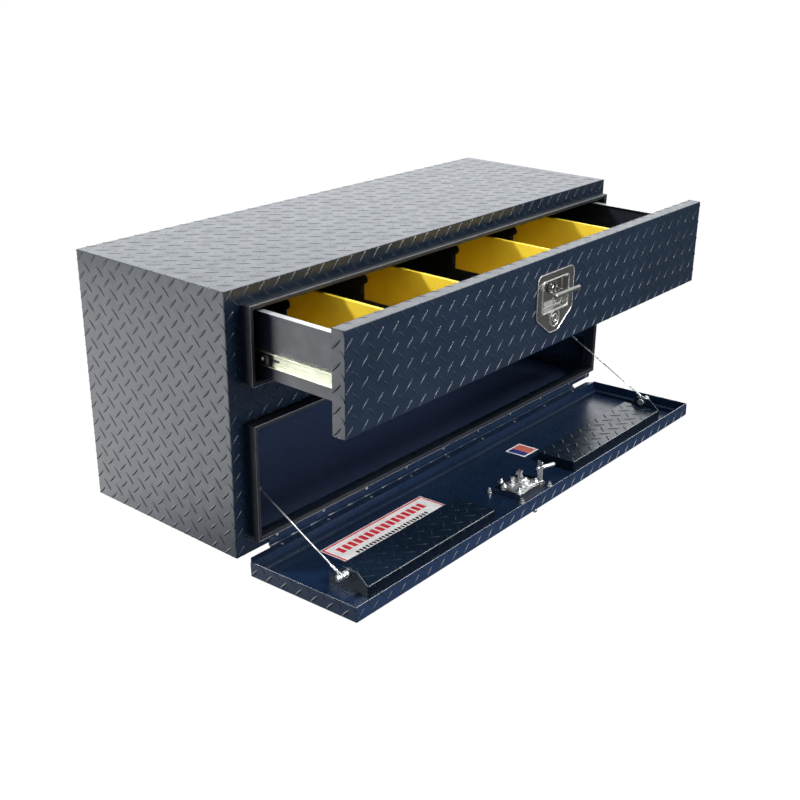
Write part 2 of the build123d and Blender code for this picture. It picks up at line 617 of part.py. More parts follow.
with BuildPart() as cable_anchors:
    for side in ("left", "right"):
        x0, x1 = across(12.0, 33.0, side)
        block((x0, SHEET, ANCHOR_Z - 16), (x1, SHEET + 3, ANCHOR_Z + 16))
        x0, x1 = across(30.0, 33.0, side)
        block((x0, SHEET, ANCHOR_Z - 16), (x1, 42, ANCHOR_Z + 16))
        x0, x1 = across(30.0, 74.0, side)
        rod(((x0 + x1) / 2, ANCHOR_Y, ANCHOR_Z), ANCHOR_R, x1 - x0, "x")
        for near, far in ((60.0, 64.0), (72.0, 76.0)):
            x0, x1 = across(near, far, side)
            rod(((x0 + x1) / 2, ANCHOR_Y, ANCHOR_Z), 6.5, x1 - x0, "x")
finish(cable_anchors.part, "cable_anchors")

stud_at = door_frame.from_local_coords((0, -STUD_UP, STUD_HIGH))
cable_rise = Vector(0, ANCHOR_Y - stud_at.Y, ANCHOR_Z - stud_at.Z)
cable_length = cable_rise.length
FERRULE_R = 2.6
FERRULE = 26.0
EYE_GAP = 0.3

for side in ("left", "right"):
    x = CABLE_X if side == "left" else WIDTH - CABLE_X
    # Cable frame: origin on the door stud, z along the cable, y across it.
    cable_frame = Plane(origin=(x, stud_at.Y, stud_at.Z), x_dir=(1, 0, 0), z_dir=cable_rise)
    with BuildPart(cable_frame) as cable:
        rod((0, 0, cable_length / 2), CABLE_R, cable_length - 14, "z")
        rod((0, 0, 8 + FERRULE / 2), FERRULE_R, FERRULE, "z")
        rod((0, 0, cable_length - 8 - FERRULE / 2), FERRULE_R, FERRULE, "z")
        rod((0, 0, 0), STUD_R + 5, 3.4, "x")
        rod((0, 0, cable_length), ANCHOR_R + 5, 3.4, "x")
        rod((0, 0, 0), STUD_R + EYE_GAP, 10, "x", Mode.SUBTRACT)
        rod((0, 0, cable_length), ANCHOR_R + EYE_GAP, 10, "x", Mode.SUBTRACT)
    finish(cable.part, f"cable_{side}")

LABEL_THICK = 0.3

with BuildPart(door_frame) as door_label:
    block((157.0, -118.0, SHEET), (459.0, -36.0, SHEET + LABEL_THICK))
finish(door_label.part, "door_label")

with BuildPart(door_frame) as door_sticker:
    block((757, -96, SHEET), (812, -43, SHEET + LABEL_THICK))
finish(door_sticker.part, "door_sticker")

STRIKE_HALF = 45.0

with BuildPart() as door_strike:
    x0, x1 = LATCH_X - STRIKE_HALF, LATCH_X + STRIKE_HALF
    block((x0, SHEET, 260), (x1, SHEET + 6.2, 284))
finish(door_strike.part, "door_strike")


# ---- piano hinge ----------------------------------------------------------------------
HINGE_X0 = 80.0
HINGE_X1 = 1140.0
KNUCKLES = 20
KNUCKLE_GAP = 0.5
BOX_LEAF_TOP = 20.0
knuckle_pitch = (HINGE_X1 - HINGE_X0) / KNUCKLES

# Hinge frame: x along the pin, y into the box, z up, origin on the pin.
box_hinge_frame = Plane(origin=(0, HINGE_Y, HINGE_Z))


def knuckles(first):
    """Every second knuckle along the pin, bored for it."""
    for index in range(first, KNUCKLES, 2):
        start = HINGE_X0 + index * knuckle_pitch + KNUCKLE_GAP / 2
        stop = start + knuckle_pitch - KNUCKLE_GAP
        rod(((start + stop) / 2, 0, 0), KNUCKLE_R, stop - start, "x")


def bore_knuckles():
    """Running bore through a row of knuckles."""
    middle = (HINGE_X0 + HINGE_X1) / 2
    rod((middle, 0, 0), PIN_R + RUNNING, HINGE_X1 - HINGE_X0 + 10, "x", Mode.SUBTRACT)


def clear_knuckles(first):
    """Notch a leaf where the other leaf's knuckles turn."""
    for index in range(first, KNUCKLES, 2):
        start = HINGE_X0 + index * knuckle_pitch - KNUCKLE_GAP / 2
        stop = start + knuckle_pitch + KNUCKLE_GAP
        rod(((start + stop) / 2, 0, 0), KNUCKLE_R + 0.4, stop - start, "x", Mode.SUBTRACT)


with BuildPart(box_hinge_frame) as hinge_box_leaf:
    block((HINGE_X0, -HINGE_Y - LEAF, 0), (HINGE_X1, -HINGE_Y, BOX_LEAF_TOP - HINGE_Z))
    for index in range(0, KNUCKLES, 2):
        start = HINGE_X0 + index * knuckle_pitch + KNUCKLE_GAP / 2
        low = (start, 0, 0)
        block(low, (start + knuckle_pitch - KNUCKLE_GAP, -HINGE_Y, LEAF))
    clear_knuckles(1)
    knuckles(0)
    bore_knuckles()
finish(hinge_box_leaf.part, "hinge_box_leaf")

# The door leaf lies under the return flange: in the door frame its upper face is the
# flange's lower face.
pin_in_door = door_frame.to_local_coords(Vector(0, HINGE_Y, HINGE_Z))
leaf_top = HINGE_WALL - SHEET
DOOR_LEAF_DEEP = 16.0

door_hinge_frame = Plane(origin=(0, HINGE_Y, HINGE_Z), x_dir=(1, 0, 0), z_dir=door_frame.z_dir)

with BuildPart(door_hinge_frame) as hinge_door_leaf:
    top = leaf_top - pin_in_door.Z
    block((HINGE_X0, -DOOR_LEAF_DEEP, top - LEAF), (HINGE_X1, 0, top))
    clear_knuckles(0)
    knuckles(1)
    bore_knuckles()
finish(hinge_door_leaf.part, "hinge_door_leaf")

with BuildPart(box_hinge_frame) as hinge_pin:
    rod(((HINGE_X0 + HINGE_X1) / 2, 0, 0), PIN_R, HINGE_X1 - HINGE_X0, "x")
finish(hinge_pin.part, "hinge_pin")

RIVET_R = 3.2
RIVET_HIGH = 1.2
RIVET_Z = 10.0
RIVETS = 9
rivet_pitch = (HINGE_X1 - HINGE_X0 - 42) / (RIVETS - 1)

with BuildPart() as hinge_box_rivets:
    for index in range(RIVETS):
        x = HINGE_X0 + 21 + index * rivet_pitch
        rod((x, -LEAF - RIVET_HIGH / 2, RIVET_Z), RIVET_R, RIVET_HIGH, "y")
finish(hinge_box_rivets.part, "hinge_box_rivets")

with BuildPart(door_frame) as hinge_door_rivets:
    for index in range(RIVETS):
        x = HINGE_X0 + 21 + index * rivet_pitch
        rod((x, 7.0, HINGE_WALL + 0.3), RIVET_R, 0.6, "z")
finish(hinge_door_rivets.part, "hinge_door_rivets")
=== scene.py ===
import json
import math
import random

import bmesh
import bpy
from mathutils import Matrix, Vector


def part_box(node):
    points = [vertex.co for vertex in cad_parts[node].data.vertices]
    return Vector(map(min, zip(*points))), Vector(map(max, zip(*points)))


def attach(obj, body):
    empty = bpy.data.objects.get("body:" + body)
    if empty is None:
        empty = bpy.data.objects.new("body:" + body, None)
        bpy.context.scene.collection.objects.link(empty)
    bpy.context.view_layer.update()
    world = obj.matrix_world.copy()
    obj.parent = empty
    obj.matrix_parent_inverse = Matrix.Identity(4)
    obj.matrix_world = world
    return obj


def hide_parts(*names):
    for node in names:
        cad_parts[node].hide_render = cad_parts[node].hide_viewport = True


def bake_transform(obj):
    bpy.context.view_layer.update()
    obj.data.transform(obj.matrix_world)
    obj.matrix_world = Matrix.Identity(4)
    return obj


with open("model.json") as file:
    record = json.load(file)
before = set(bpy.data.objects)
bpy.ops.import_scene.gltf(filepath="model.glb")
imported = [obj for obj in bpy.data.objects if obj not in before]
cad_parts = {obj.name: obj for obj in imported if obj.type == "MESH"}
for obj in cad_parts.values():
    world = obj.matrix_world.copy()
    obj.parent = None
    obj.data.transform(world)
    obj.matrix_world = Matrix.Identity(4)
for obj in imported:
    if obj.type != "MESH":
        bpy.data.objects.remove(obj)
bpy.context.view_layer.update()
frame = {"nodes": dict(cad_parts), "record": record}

# Looks for the underbody truck tool box. Lengths are millimetres in the shared frame
# (X along the front, Y into the box, Z up) unless a comment says metres; meshes are
# written in metres.

MM = 0.001
random.seed(11)


def corners(node):
    """Lowest and highest corner of a CAD node, in millimetres."""
    low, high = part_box(node)
    return low / MM, high / MM


# ---- sizes read from the frame -----------------------------------------------------------
joints = {joint["name"]: joint for joint in frame["record"]["behaviour"]["joints"]}
WRAP_HIGH = corners("body_wrap")[1]
WIDTH = WRAP_HIGH.x
DEPTH = WRAP_HIGH.y
HEIGHT = WRAP_HIGH.z
FRONT_LOW, FRONT_HIGH = corners("drawer_front")
TRAY_LOW, TRAY_HIGH = corners("drawer_tray")
SEAL_LOW, SEAL_HIGH = corners("drawer_opening_seal")
BAY_SEAL_LOW, BAY_SEAL_HIGH = corners("door_opening_seal")
TRAY_RIM = 13.0          # width of the tray's top flange
SEAL_SIDE = 3.7          # rubber outside the lip
LIP_SHOWN = 14.6         # bare lip between the face and the rubber
STILE = SEAL_LOW.x + SEAL_SIDE
SHEET = 1.6
DOOR_TALL = 260.0        # free edge to hinge edge
DOOR_FLANGE = 29.2       # height of the door's flanges above its skin
DOOR_SKIN = -31.0        # outer face of the door when it is shut
DOOR_LOW = 12.0          # lower edge of the door when it is shut
DOOR_HANDLE_TURN = -70   # degrees the door's handle is turned at rest


class Place:
    """A local frame in millimetres: an origin and three axes."""

    def __init__(self, origin, x, z):
        self.origin = Vector(origin)
        self.x = Vector(x).normalized()
        self.z = Vector(z).normalized()
        self.y = self.z.cross(self.x)

    def at(self, x, y, z=0.0):
        return self.origin + self.x * x + self.y * y + self.z * z

    def moved(self, x, y, z=0.0):
        return Place(self.at(x, y, z), self.x, self.z)

    def turned(self, degrees):
        """The same origin, turned about z."""
        a = math.radians(degrees)
        return Place(self.origin, self.x * math.cos(a) + self.y * math.sin(a), self.z)

    def facing(self, x, z):
        """The same origin with new axes, given as (x, y, z) in this frame."""
        new_x = self.x * x[0] + self.y * x[1] + self.z * x[2]
        new_z = self.x * z[0] + self.y * z[1] + self.z * z[2]
        return Place(self.origin, new_x, new_z)

    def matrix(self):
        columns = (self.x * MM, self.y * MM, self.z * MM, self.origin * MM)
        rows = [[column[i] for column in columns] for i in range(3)]
        return Matrix(rows + [[0, 0, 0, 1]])


ROW = Place((0, 0, 0), (1, 0, 0), (0, 0, 1))

# The door frame: y from the free edge (-DOOR_TALL) to the hinge edge, z into the box.
hinge = joints["door_hinge"]
opened = math.radians(-hinge["range_deg"][0])
hinge_y, hinge_z = hinge["pos_m"][1] / MM, hinge["pos_m"][2] / MM
skin_y, skin_z = DOOR_SKIN - hinge_y, DOOR_LOW - hinge_z
DOOR = Place(
    (
        0,
        hinge_y + skin_y * math.cos(opened) - skin_z * math.sin(opened),
        hinge_z + skin_y * math.sin(opened) + skin_z * math.cos(opened),
    ),
    (1, 0, 0),
    (0, math.cos(opened), math.sin(opened)),
)

# Latch frames: origin on the handle's turning axis at the skin, y up when closed, z outward.
hub = Vector(joints["drawer_handle_turn"]["pos_m"]) / MM
DRAWER_LATCH = Place(hub, (1, 0, 0), (0, -1, 0))
hub = Vector(joints["door_handle_turn"]["pos_m"]) / MM
DOOR_LATCH = Place(hub, (1, 0, 0), -DOOR.z)
DOOR_HANDLE = DOOR_LATCH.turned(DOOR_HANDLE_TURN)
LATCH_X = hub.x


# ---- procedural materials -----------------------------------------------------------------
class Finish:
    """A node material with object coordinates, built up by small steps."""

    def __init__(self, name, colour, roughness, metallic=0.0, coat=0.0):
        self.material = bpy.data.materials.new(name)
        self.material.use_nodes = True
        self.tree = self.material.node_tree
        self.shader = self.tree.nodes["Principled BSDF"]
        self.shader.inputs["Base Color"].default_value = (*colour, 1)
        self.shader.inputs["Roughness"].default_value = roughness
        self.shader.inputs["Metallic"].default_value = metallic
        self.shader.inputs["Coat Weight"].default_value = coat
        self.coordinates = self.tree.nodes.new("ShaderNodeTexCoord").outputs["Object"]

    def noise(self, scale, detail=3.0, stretch=(1, 1, 1)):
        """Noise over object coordinates; stretch below 1 draws it out along that axis."""
        mapping = self.tree.nodes.new("ShaderNodeMapping")
        mapping.inputs["Scale"].default_value = stretch
        texture = self.tree.nodes.new("ShaderNodeTexNoise")
        texture.inputs["Scale"].default_value = scale
        texture.inputs["Detail"].default_value = detail
        self.tree.links.new(self.coordinates, mapping.inputs["Vector"])
        self.tree.links.new(mapping.outputs["Vector"], texture.inputs["Vector"])
        return texture.outputs["Fac"]

    def spread(self, source, low, high, start=0.3, stop=0.7):
        """Map a source from start..stop to low..high."""
        node = self.tree.nodes.new("ShaderNodeMapRange")
        for name, value in (
            ("From Min", start), ("From Max", stop), ("To Min", low), ("To Max", high)
        ):
            node.inputs[name].default_value = value
        self.tree.links.new(source, node.inputs["Value"])
        return node.outputs["Result"]

    def vary_colour(self, source, low, high):
        """Blend between two colours by a source."""
        node = self.tree.nodes.new("ShaderNodeMix")
        node.data_type = "RGBA"
        node.inputs["A"].default_value = (*low, 1)
        node.inputs["B"].default_value = (*high, 1)
        self.tree.links.new(self.spread(source, 0, 1), node.inputs["Factor"])
        self.tree.links.new(node.outputs["Result"], self.shader.inputs["Base Color"])

    def vary_roughness(self, source, low, high):
        self.tree.links.new(self.spread(source, low, high), self.shader.inputs["Roughness"])

    def bump(self, source, strength, distance):
        node = self.tree.nodes.new("ShaderNodeBump")
        node.inputs["Strength"].default_value = strength
        node.inputs["Distance"].default_value = distance
        self.tree.links.new(source, node.inputs["Height"])
        self.tree.links.new(node.outputs["Normal"], self.shader.inputs["Normal"])


COAT_GRAIN = (620.0, 0.12, 0.0002)      # orange peel: noise scale, strength, depth in metres


def powder_coat(name, dark, light, rough):
    """Dark powder coat: orange-peel skin and slight changes of colour and sheen."""
    finish = Finish(name, dark, rough[0])
    finish.vary_colour(finish.noise(7.0, 6.0), dark, light)
    finish.vary_roughness(finish.noise(38.0, 4.0), *rough)
    finish.bump(finish.noise(COAT_GRAIN[0], 2.0), *COAT_GRAIN[1:])
    finish.shader.inputs["Specular IOR Level"].default_value = 0.6
    return finish.material


def panel_coat(name, outward):
    """Coat that is dark on the side facing outward and a lighter navy on a panel's inner side; the
    lighter inner colour is painted fill light for the inside of the bay.
    """
    finish = Finish(name, INNER_PAINTED_FILL, 0.48)
    geometry = finish.tree.nodes.new("ShaderNodeNewGeometry")
    facing = finish.tree.nodes.new("ShaderNodeVectorMath")
    facing.operation = "DOT_PRODUCT"
    facing.inputs[1].default_value = outward
    finish.tree.links.new(geometry.outputs["Normal"], facing.inputs[0])
    finish.vary_colour(facing.outputs["Value"], INNER_PAINTED_FILL, OUTER_DARK)
    finish.vary_roughness(finish.noise(38.0, 4.0), 0.40, 0.52)
    finish.bump(finish.noise(COAT_GRAIN[0], 2.0), *COAT_GRAIN[1:])
    return finish.material


def plated_steel(name, dark, light, rough, grain=(1, 1, 1), grain_scale=300.0):
    """Metal with cloudy plating and fine drawn lines."""
    finish = Finish(name, light, rough[0], metallic=1.0)
    finish.vary_colour(finish.noise(60.0, 4.0), dark, light)
    finish.vary_roughness(finish.noise(grain_scale, 3.0, grain), *rough)
    finish.bump(finish.noise(grain_scale * 2.0, 2.0, grain), 0.08, 0.0002)
    return finish.material


def plastic(name, dark, light, rough, scatter=0.0):
    """Moulded plastic with a fine grain and faint scuffs."""
    finish = Finish(name, light, rough[0])
    finish.vary_colour(finish.noise(11.0, 5.0), dark, light)
    finish.vary_roughness(finish.noise(90.0, 5.0), *rough)
    finish.bump(finish.noise(900.0, 2.0), 0.10, 0.0002)
    finish.shader.inputs["Subsurface Weight"].default_value = scatter
    finish.shader.inputs["Subsurface Scale"].default_value = 0.002
    return finish.material


def rubber(name):
    """Satin extruded rubber, drawn out along its length."""
    finish = Finish(name, (0.007, 0.009, 0.013), 0.5)
    finish.vary_colour(finish.noise(30.0, 4.0), (0.005, 0.007, 0.011), (0.010, 0.013, 0.018))
    finish.vary_roughness(finish.noise(25.0, 3.0), 0.42, 0.60)
    finish.bump(finish.noise(500.0, 3.0), 0.25, 0.0003)
    return finish.material


def film(name, colour, rough=(0.22, 0.34)):
    """Printed film with a faint ripple."""
    finish = Finish(name, colour, rough[0])
    shade = tuple(0.86 * channel for channel in colour)
    finish.vary_colour(finish.noise(22.0, 3.0), shade, colour)
    finish.vary_roughness(finish.noise(45.0, 3.0), *rough)
    finish.bump(finish.noise(60.0, 2.0), 0.06, 0.0004)
    return finish.material


# Inner sides of the bay's panels: a navy well lighter than the outer coat, painted fill light for
# the inside of the bay.
INNER_PAINTED_FILL = (0.085, 0.120, 0.220)
OUTER_DARK = (0.005, 0.012, 0.030)
TREAD = powder_coat("tread_coat", (0.003, 0.0085, 0.018), (0.005, 0.0115, 0.023), (0.24, 0.33))
SMOOTH = powder_coat("smooth_coat", (0.005, 0.014, 0.036), (0.008, 0.019, 0.045), (0.24, 0.34))
NAVY = powder_coat("door_coat", (0.0035, 0.012, 0.034), (0.0055, 0.016, 0.042), (0.24, 0.33))
TRAY_COAT = powder_coat("tray_coat", (0.007, 0.010, 0.018), (0.010, 0.014, 0.024), (0.26, 0.36))
# Pale coat for the bead on the seal edges: a painted highlight where those edges catch light.
SEAL_HIGHLIGHT_COAT = powder_coat("painted_seal_highlight", (0.10, 0.105, 0.115), (0.16, 0.165, 0.175), (0.22, 0.34))
# Pale coat for the tray rims and the door and stiffener edges: a painted highlight where those
# edges catch light.
EDGE_HIGHLIGHT_COAT = powder_coat("painted_edge_highlight", (0.28, 0.29, 0.30), (0.44, 0.45, 0.46), (0.20, 0.32))
RUBBER = rubber("seal_rubber")
ZINC = plated_steel("zinc", (0.82, 0.84, 0.84), (0.95, 0.96, 0.96), (0.34, 0.50))
SLIDE_ZINC = plated_steel(
    "slide_zinc", (0.50, 0.52, 0.40), (0.60, 0.62, 0.49), (0.34, 0.48), (1, 0.05, 1), 420.0
)
SLIDE_DARK = plated_steel("slide_dark", (0.035, 0.037, 0.042), (0.06, 0.062, 0.07), (0.36, 0.5))
RIM = plated_steel("rolled_rim", (0.74, 0.74, 0.72), (0.90, 0.90, 0.88), (0.32, 0.46))
STAINLESS = plated_steel(
    "stainless", (0.56, 0.55, 0.52), (0.70, 0.69, 0.66), (0.12, 0.22), (0.08, 1, 1), 260.0
)
WIRE = plated_steel("wire", (0.72, 0.72, 0.72), (0.90, 0.90, 0.90), (0.30, 0.42))
YELLOW = plastic("bin_yellow", (0.68, 0.50, 0.035), (0.78, 0.59, 0.045), (0.34, 0.46), 0.05)
BLACK_PLASTIC = plastic(
    "divider_black", (0.010, 0.010, 0.012), (0.018, 0.018, 0.02), (0.38, 0.5)
)
WHITE_FILM = film("label_white", (0.95, 0.93, 0.92))
RED_FILM = film("label_red", (0.72, 0.035, 0.05))
DARK_FILM = film("label_dark", (0.035, 0.03, 0.035))
BLUE_FILM = film("sticker_blue", (0.03, 0.045, 0.22))
PINK_FILM = film("sticker_coral", (0.62, 0.17, 0.13))

SLOT_FINISH = {
    "tread_black": TREAD, "smooth_black": SMOOTH, "seal_rubber": RUBBER, "zinc_steel": ZINC,
    "slide_zinc": SLIDE_ZINC, "slide_dark": SLIDE_DARK, "polished_stainless": STAINLESS,
    "cable_steel": WIRE, "bin_yellow": YELLOW, "divider_black": BLACK_PLASTIC,
    "label_white": WHITE_FILM, "sticker_film": WHITE_FILM,
}


# ---- CAD nodes: finish and softened edges --------------------------------------------------
EDGE = {
    "body_wrap": 1.2, "face_frame": 0.5, "drawer_front": 1.3, "door_pan": 0.7,
    "drawer_tray": 0.6, "door_stiffener_left": 0.6, "door_stiffener_right": 0.6,
    "drawer_latch_plate": 0.6, "door_latch_plate": 0.6, "door_edge_strip": 1.5,
    "drawer_handle_hub": 0.6, "door_handle_hub": 0.6, "drawer_handle": 0.6, "door_handle": 0.6,
    "bin_1": 0.7, "bin_2": 0.7, "bin_3": 0.7, "bin_4": 0.7, "door_latch_arm": 0.8,
    "hinge_box_rivets": 0.6, "hinge_door_rivets": 0.25, "slide_inner_left": 0.5,
    "slide_inner_right": 0.5, "slide_outer_screws": 0.5, "slide_inner_screws": 0.5,
}
SMALLEST_EDGE = 0.25
WELD_WITHIN = 0.00002    # metres
# The back, floor and deck panels are painted lighter on their inner sides, as fill light inside
# the bay.
OWN_FINISH = {
    "back_panel": panel_coat("back_coat", (0, 1, 0)),
    "floor_panel": panel_coat("floor_coat", (0, 0, -1)),
    "middle_deck": panel_coat("deck_coat", (0, 0, 1)),
    "door_pan": NAVY, "drawer_tray": TRAY_COAT,
}
SHARP = math.radians(32)


def dress(node, obj, slot):
    """Give a CAD node its finish, and a small round on its edges by modifiers."""
    obj.data.materials.clear()
    obj.data.materials.append(OWN_FINISH.get(node, SLOT_FINISH[slot]))
    weld = obj.modifiers.new("weld", "WELD")
    weld.merge_threshold = WELD_WITHIN
    bevel = obj.modifiers.new("edges", "BEVEL")
    bevel.width = EDGE.get(node, SMALLEST_EDGE) * MM
    bevel.segments = 2
    bevel.limit_method = "ANGLE"
    bevel.angle_limit = SHARP
    bevel.use_clamp_overlap = True
    bevel.harden_normals = True


for row in frame["record"]["subparts"]:
    dress(row["node"], frame["nodes"][row["node"]], row["material_slot"])


# ---- mesh tools ----------------------------------------------------------------------------
def piece(name, mesh_data, place, body, material, sharp=38.0):
    """Turn a bmesh in local millimetres into an object that rides on a body."""
    bmesh.ops.recalc_face_normals(mesh_data, faces=mesh_data.faces)
    bmesh.ops.transform(mesh_data, matrix=place.matrix(), verts=mesh_data.verts)
    mesh = bpy.data.meshes.new(name)
    mesh_data.to_mesh(mesh)
    mesh_data.free()
    mesh.materials.append(material)
    mesh.polygons.foreach_set("use_smooth", [True] * len(mesh.polygons))
    mesh.set_sharp_from_angle(angle=math.radians(sharp))
    obj = bpy.data.objects.new(name, mesh)
    bpy.context.scene.collection.objects.link(obj)
    if body:
        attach(obj, body)
    return obj


def add_mesh(mesh_data, points, faces):
    """Add points and faces to a bmesh."""
    made = [mesh_data.verts.new(point) for point in points]
    for face in faces:
        mesh_data.faces.new([made[i] for i in face])
    return made


def prism(mesh_data, outline, z0, z1, edge=0.0):
    """Add an upright prism over a closed outline; edge draws its top rim in by a chamfer."""
    count = len(outline)
    middle = Vector((sum(p[0] for p in outline) / count, sum(p[1] for p in outline) / count))
    levels = [(z0, 0.0), (z1 - edge, 0.0), (z1, edge)] if edge else [(z0, 0.0), (z1, 0.0)]
    points = []
    for z, inset in levels:
        for x, y in outline:
            away = Vector((x, y)) - middle
            scale = max(0.0, 1 - inset / max(away.length, 0.001))
            points.append((middle.x + away.x * scale, middle.y + away.y * scale, z))
    faces = [tuple(reversed(range(count)))]
    for level in range(len(levels) - 1):
        base = level * count
        for i in range(count):
            j = (i + 1) % count
            faces.append((base + i, base + j, base + count + j, base + count + i))
    top = (len(levels) - 1) * count
    faces.append(tuple(range(top, top + count)))
    add_mesh(mesh_data, points, faces)


def rounded(x0, y0, x1, y1, radius, steps=5):
    """Outline of a rectangle with round corners, anticlockwise."""
    outline = []
    for cx, cy, start in (
        (x1 - radius, y1 - radius, 0), (x0 + radius, y1 - radius, 90),
        (x0 + radius, y0 + radius, 180), (x1 - radius, y0 + radius, 270),
    ):
        for step in range(steps + 1):
            a = math.radians(start + 90 * step / steps)
            outline.append((cx + radius * math.cos(a), cy + radius * math.sin(a)))
    return outline


def circle(radius, steps, cx=0.0, cy=0.0, turn=0.0):
    angles = [2 * math.pi * step / steps + turn for step in range(steps)]
    return [(cx + radius * math.cos(a), cy + radius * math.sin(a)) for a in angles]


def lathe(mesh_data, profile, cx=0.0, cy=0.0, steps=28):
    """Turn a profile of (radius, z) about the local z axis at (cx, cy), with closed ends."""
    points = []
    for radius, z in profile:
        points += [(x, y, z) for x, y in circle(radius, steps, cx, cy)]
    faces = [tuple(reversed(range(steps)))]
    for level in range(len(profile) - 1):
        base = level * steps
        for i in range(steps):
            j = (i + 1) % steps
            faces.append((base + i, base + j, base + steps + j, base + steps + i))
    top = (len(profile) - 1) * steps
    faces.append(tuple(range(top, top + steps)))
    add_mesh(mesh_data, points, faces)


def pipe(mesh_data, path, radius, sides=8, closed=False):
    """Sweep a circle along a path of points."""
    path = [Vector(point) for point in path]
    count = len(path)
    points = []
    side = None
    for i, point in enumerate(path):
        before = path[i - 1] if closed or i else path[0]
        after = path[(i + 1) % count] if closed or i < count - 1 else path[-1]
        along = (after - before).normalized()
        if side is None:
            side = along.orthogonal().normalized()
        side = (side - along * side.dot(along)).normalized()
        other = along.cross(side)
        for cx, cy in circle(radius, sides):
            points.append(point + side * cx + other * cy)
    faces = []
    for level in range(count if closed else count - 1):
        a = level * sides
        b = ((level + 1) % count) * sides
        for i in range(sides):
            j = (i + 1) % sides
            faces.append((a + i, a + j, b + j, b + i))
    if not closed:
        faces.append(tuple(reversed(range(sides))))
        faces.append(tuple(range((count - 1) * sides, count * sides)))
    add_mesh(mesh_data, points, faces)


# ---- tread plate ---------------------------------------------------------------------------
PITCH = 37.5
LUG_HALF = 15.2
LUG_WIDE = 2.8
LUG_HIGH = 1.1
TOP_LUG_HIGH = 0.55      # the top shows its lugs only faintly
LUG_SINK = 0.12          # how far a lug's foot lies under the plate's surface
LUG_STATIONS = (-0.82, -0.45, 0.0, 0.45, 0.82)
LUG_SECTION = ((-1.0, 0.0), (-0.5, 0.82), (0.0, 1.0), (0.5, 0.82), (1.0, 0.0))


def lug(points, faces, cx, cy, angle, height):
    """One lens-shaped lug: pointed ends, round back."""
    first = len(points)
    along = Vector((math.cos(angle), math.sin(angle), 0))
    cross = Vector((-along.y, along.x, 0))
    centre = Vector((cx, cy, 0))
    up = Vector((0, 0, 1))
    points.append(centre - along * LUG_HALF - up * LUG_SINK)
    for station in LUG_STATIONS:
        fat = 1 - station * station
        for side, high in LUG_SECTION:
            lift = high * height * fat ** 0.4 - (1 - high) * LUG_SINK
            shift = cross * (side * LUG_WIDE * fat ** 0.75)
            points.append(centre + along * (station * LUG_HALF) + shift + up * lift)
    points.append(centre + along * LUG_HALF - up * LUG_SINK)
    last = len(points) - 1
    wide = len(LUG_SECTION)
    for i in range(wide - 1):
        faces.append((first, first + 1 + i + 1, first + 1 + i))
        end = last - wide
        faces.append((last, end + i, end + i + 1))
        for station in range(len(LUG_STATIONS) - 1):
            a = first + 1 + station * wide + i
            faces.append((a, a + 1, a + wide + 1, a + wide))


def cut(mesh_data, at, normal):
    """Cut away what lies past a plane and close the cut ends."""
    everything = mesh_data.verts[:] + mesh_data.edges[:] + mesh_data.faces[:]
    result = bmesh.ops.bisect_plane(
        mesh_data, geom=everything, plane_co=at, plane_no=normal, clear_outer=True
    )
    edges = [item for item in result["geom_cut"] if isinstance(item, bmesh.types.BMEdge)]
    if edges:
        bmesh.ops.edgenet_fill(mesh_data, edges=edges)


def tread(name, place, x0, x1, y0, y1, body, keep_out=None, height=LUG_HIGH):
    """Lugs over a rectangle of plate, on a lattice anchored at the place's origin."""
    points, faces = [], []
    reach = LUG_HALF
    for i in range(math.floor((x0 - reach) / PITCH), math.ceil((x1 + reach) / PITCH) + 1):
        for j in range(math.floor((y0 - reach) / PITCH), math.ceil((y1 + reach) / PITCH) + 1):
            for shift, angle in ((0.25, 45), (0.75, -45)):
                cx, cy = (i + shift) * PITCH, (j + shift) * PITCH
                if not (x0 - reach < cx < x1 + reach and y0 - reach < cy < y1 + reach):
                    continue
                if keep_out and inside(cx, cy, keep_out):
                    continue
                lug(points, faces, cx, cy, math.radians(angle), height)
    mesh_data = bmesh.new()
    add_mesh(mesh_data, points, faces)
    for at, normal in (
        ((x0, 0, 0), (-1, 0, 0)), ((x1, 0, 0), (1, 0, 0)),
        ((0, y0, 0), (0, -1, 0)), ((0, y1, 0), (0, 1, 0)),
    ):
        cut(mesh_data, at, normal)
    return piece(name, mesh_data, place, body, TREAD, 60.0)


def inside(x, y, box):
    return box[0] < x < box[2] and box[1] < y < box[3]


def cabinet_tread():
    """Tread plate on the cabinet's top, sides and face."""
    top = Place((0, 0, HEIGHT), (1, 0, 0), (0, 0, 1))
    tread("tread_top", top, 1, WIDTH - 1, 1, DEPTH, "cabinet", height=TOP_LUG_HIGH)
    left = Place((0, DEPTH, 0), (0, -1, 0), (-1, 0, 0))
    tread("tread_left", left, 0, DEPTH - 1, 0, HEIGHT - 1, "cabinet")
    right = Place((WIDTH, 0, 0), (0, 1, 0), (1, 0, 0))
    tread("tread_right", right, 1, DEPTH, 0, HEIGHT - 1, "cabinet")

    face = Place((0, 0, 0), (1, 0, 0), (0, -1, 0))
    bay_low = BAY_SEAL_LOW.z + SEAL_SIDE
    bay_high = BAY_SEAL_HIGH.z - SEAL_SIDE
    sill = SEAL_LOW.z + SEAL_SIDE
    head = SEAL_HIGH.z - SEAL_SIDE
    leaf_top = corners("hinge_box_leaf")[1].z
    inner = WIDTH - STILE
    tread("tread_stile_left", face, 1, STILE, 0, HEIGHT - 1, "cabinet")
    tread("tread_stile_right", face, inner, WIDTH - 1, 0, HEIGHT - 1, "cabinet")
    tread("tread_rail_low", face, STILE, inner, leaf_top + 0.5, bay_low, "cabinet")
    tread("tread_rail_mid", face, STILE, inner, bay_high, sill, "cabinet")
    tread("tread_rail_top", face, STILE, inner, head, HEIGHT - 1, "cabinet")


# Latch plate, relative to the turning axis.
PLATE_HALF = 63.5
PLATE_TOP = 37.0
PLATE_LOW = -87.0
PLATE_SHOULDER = -50.0
LATCH_CLEAR = 7.0        # lugs whose centre is this far inside the plate's edge are left out


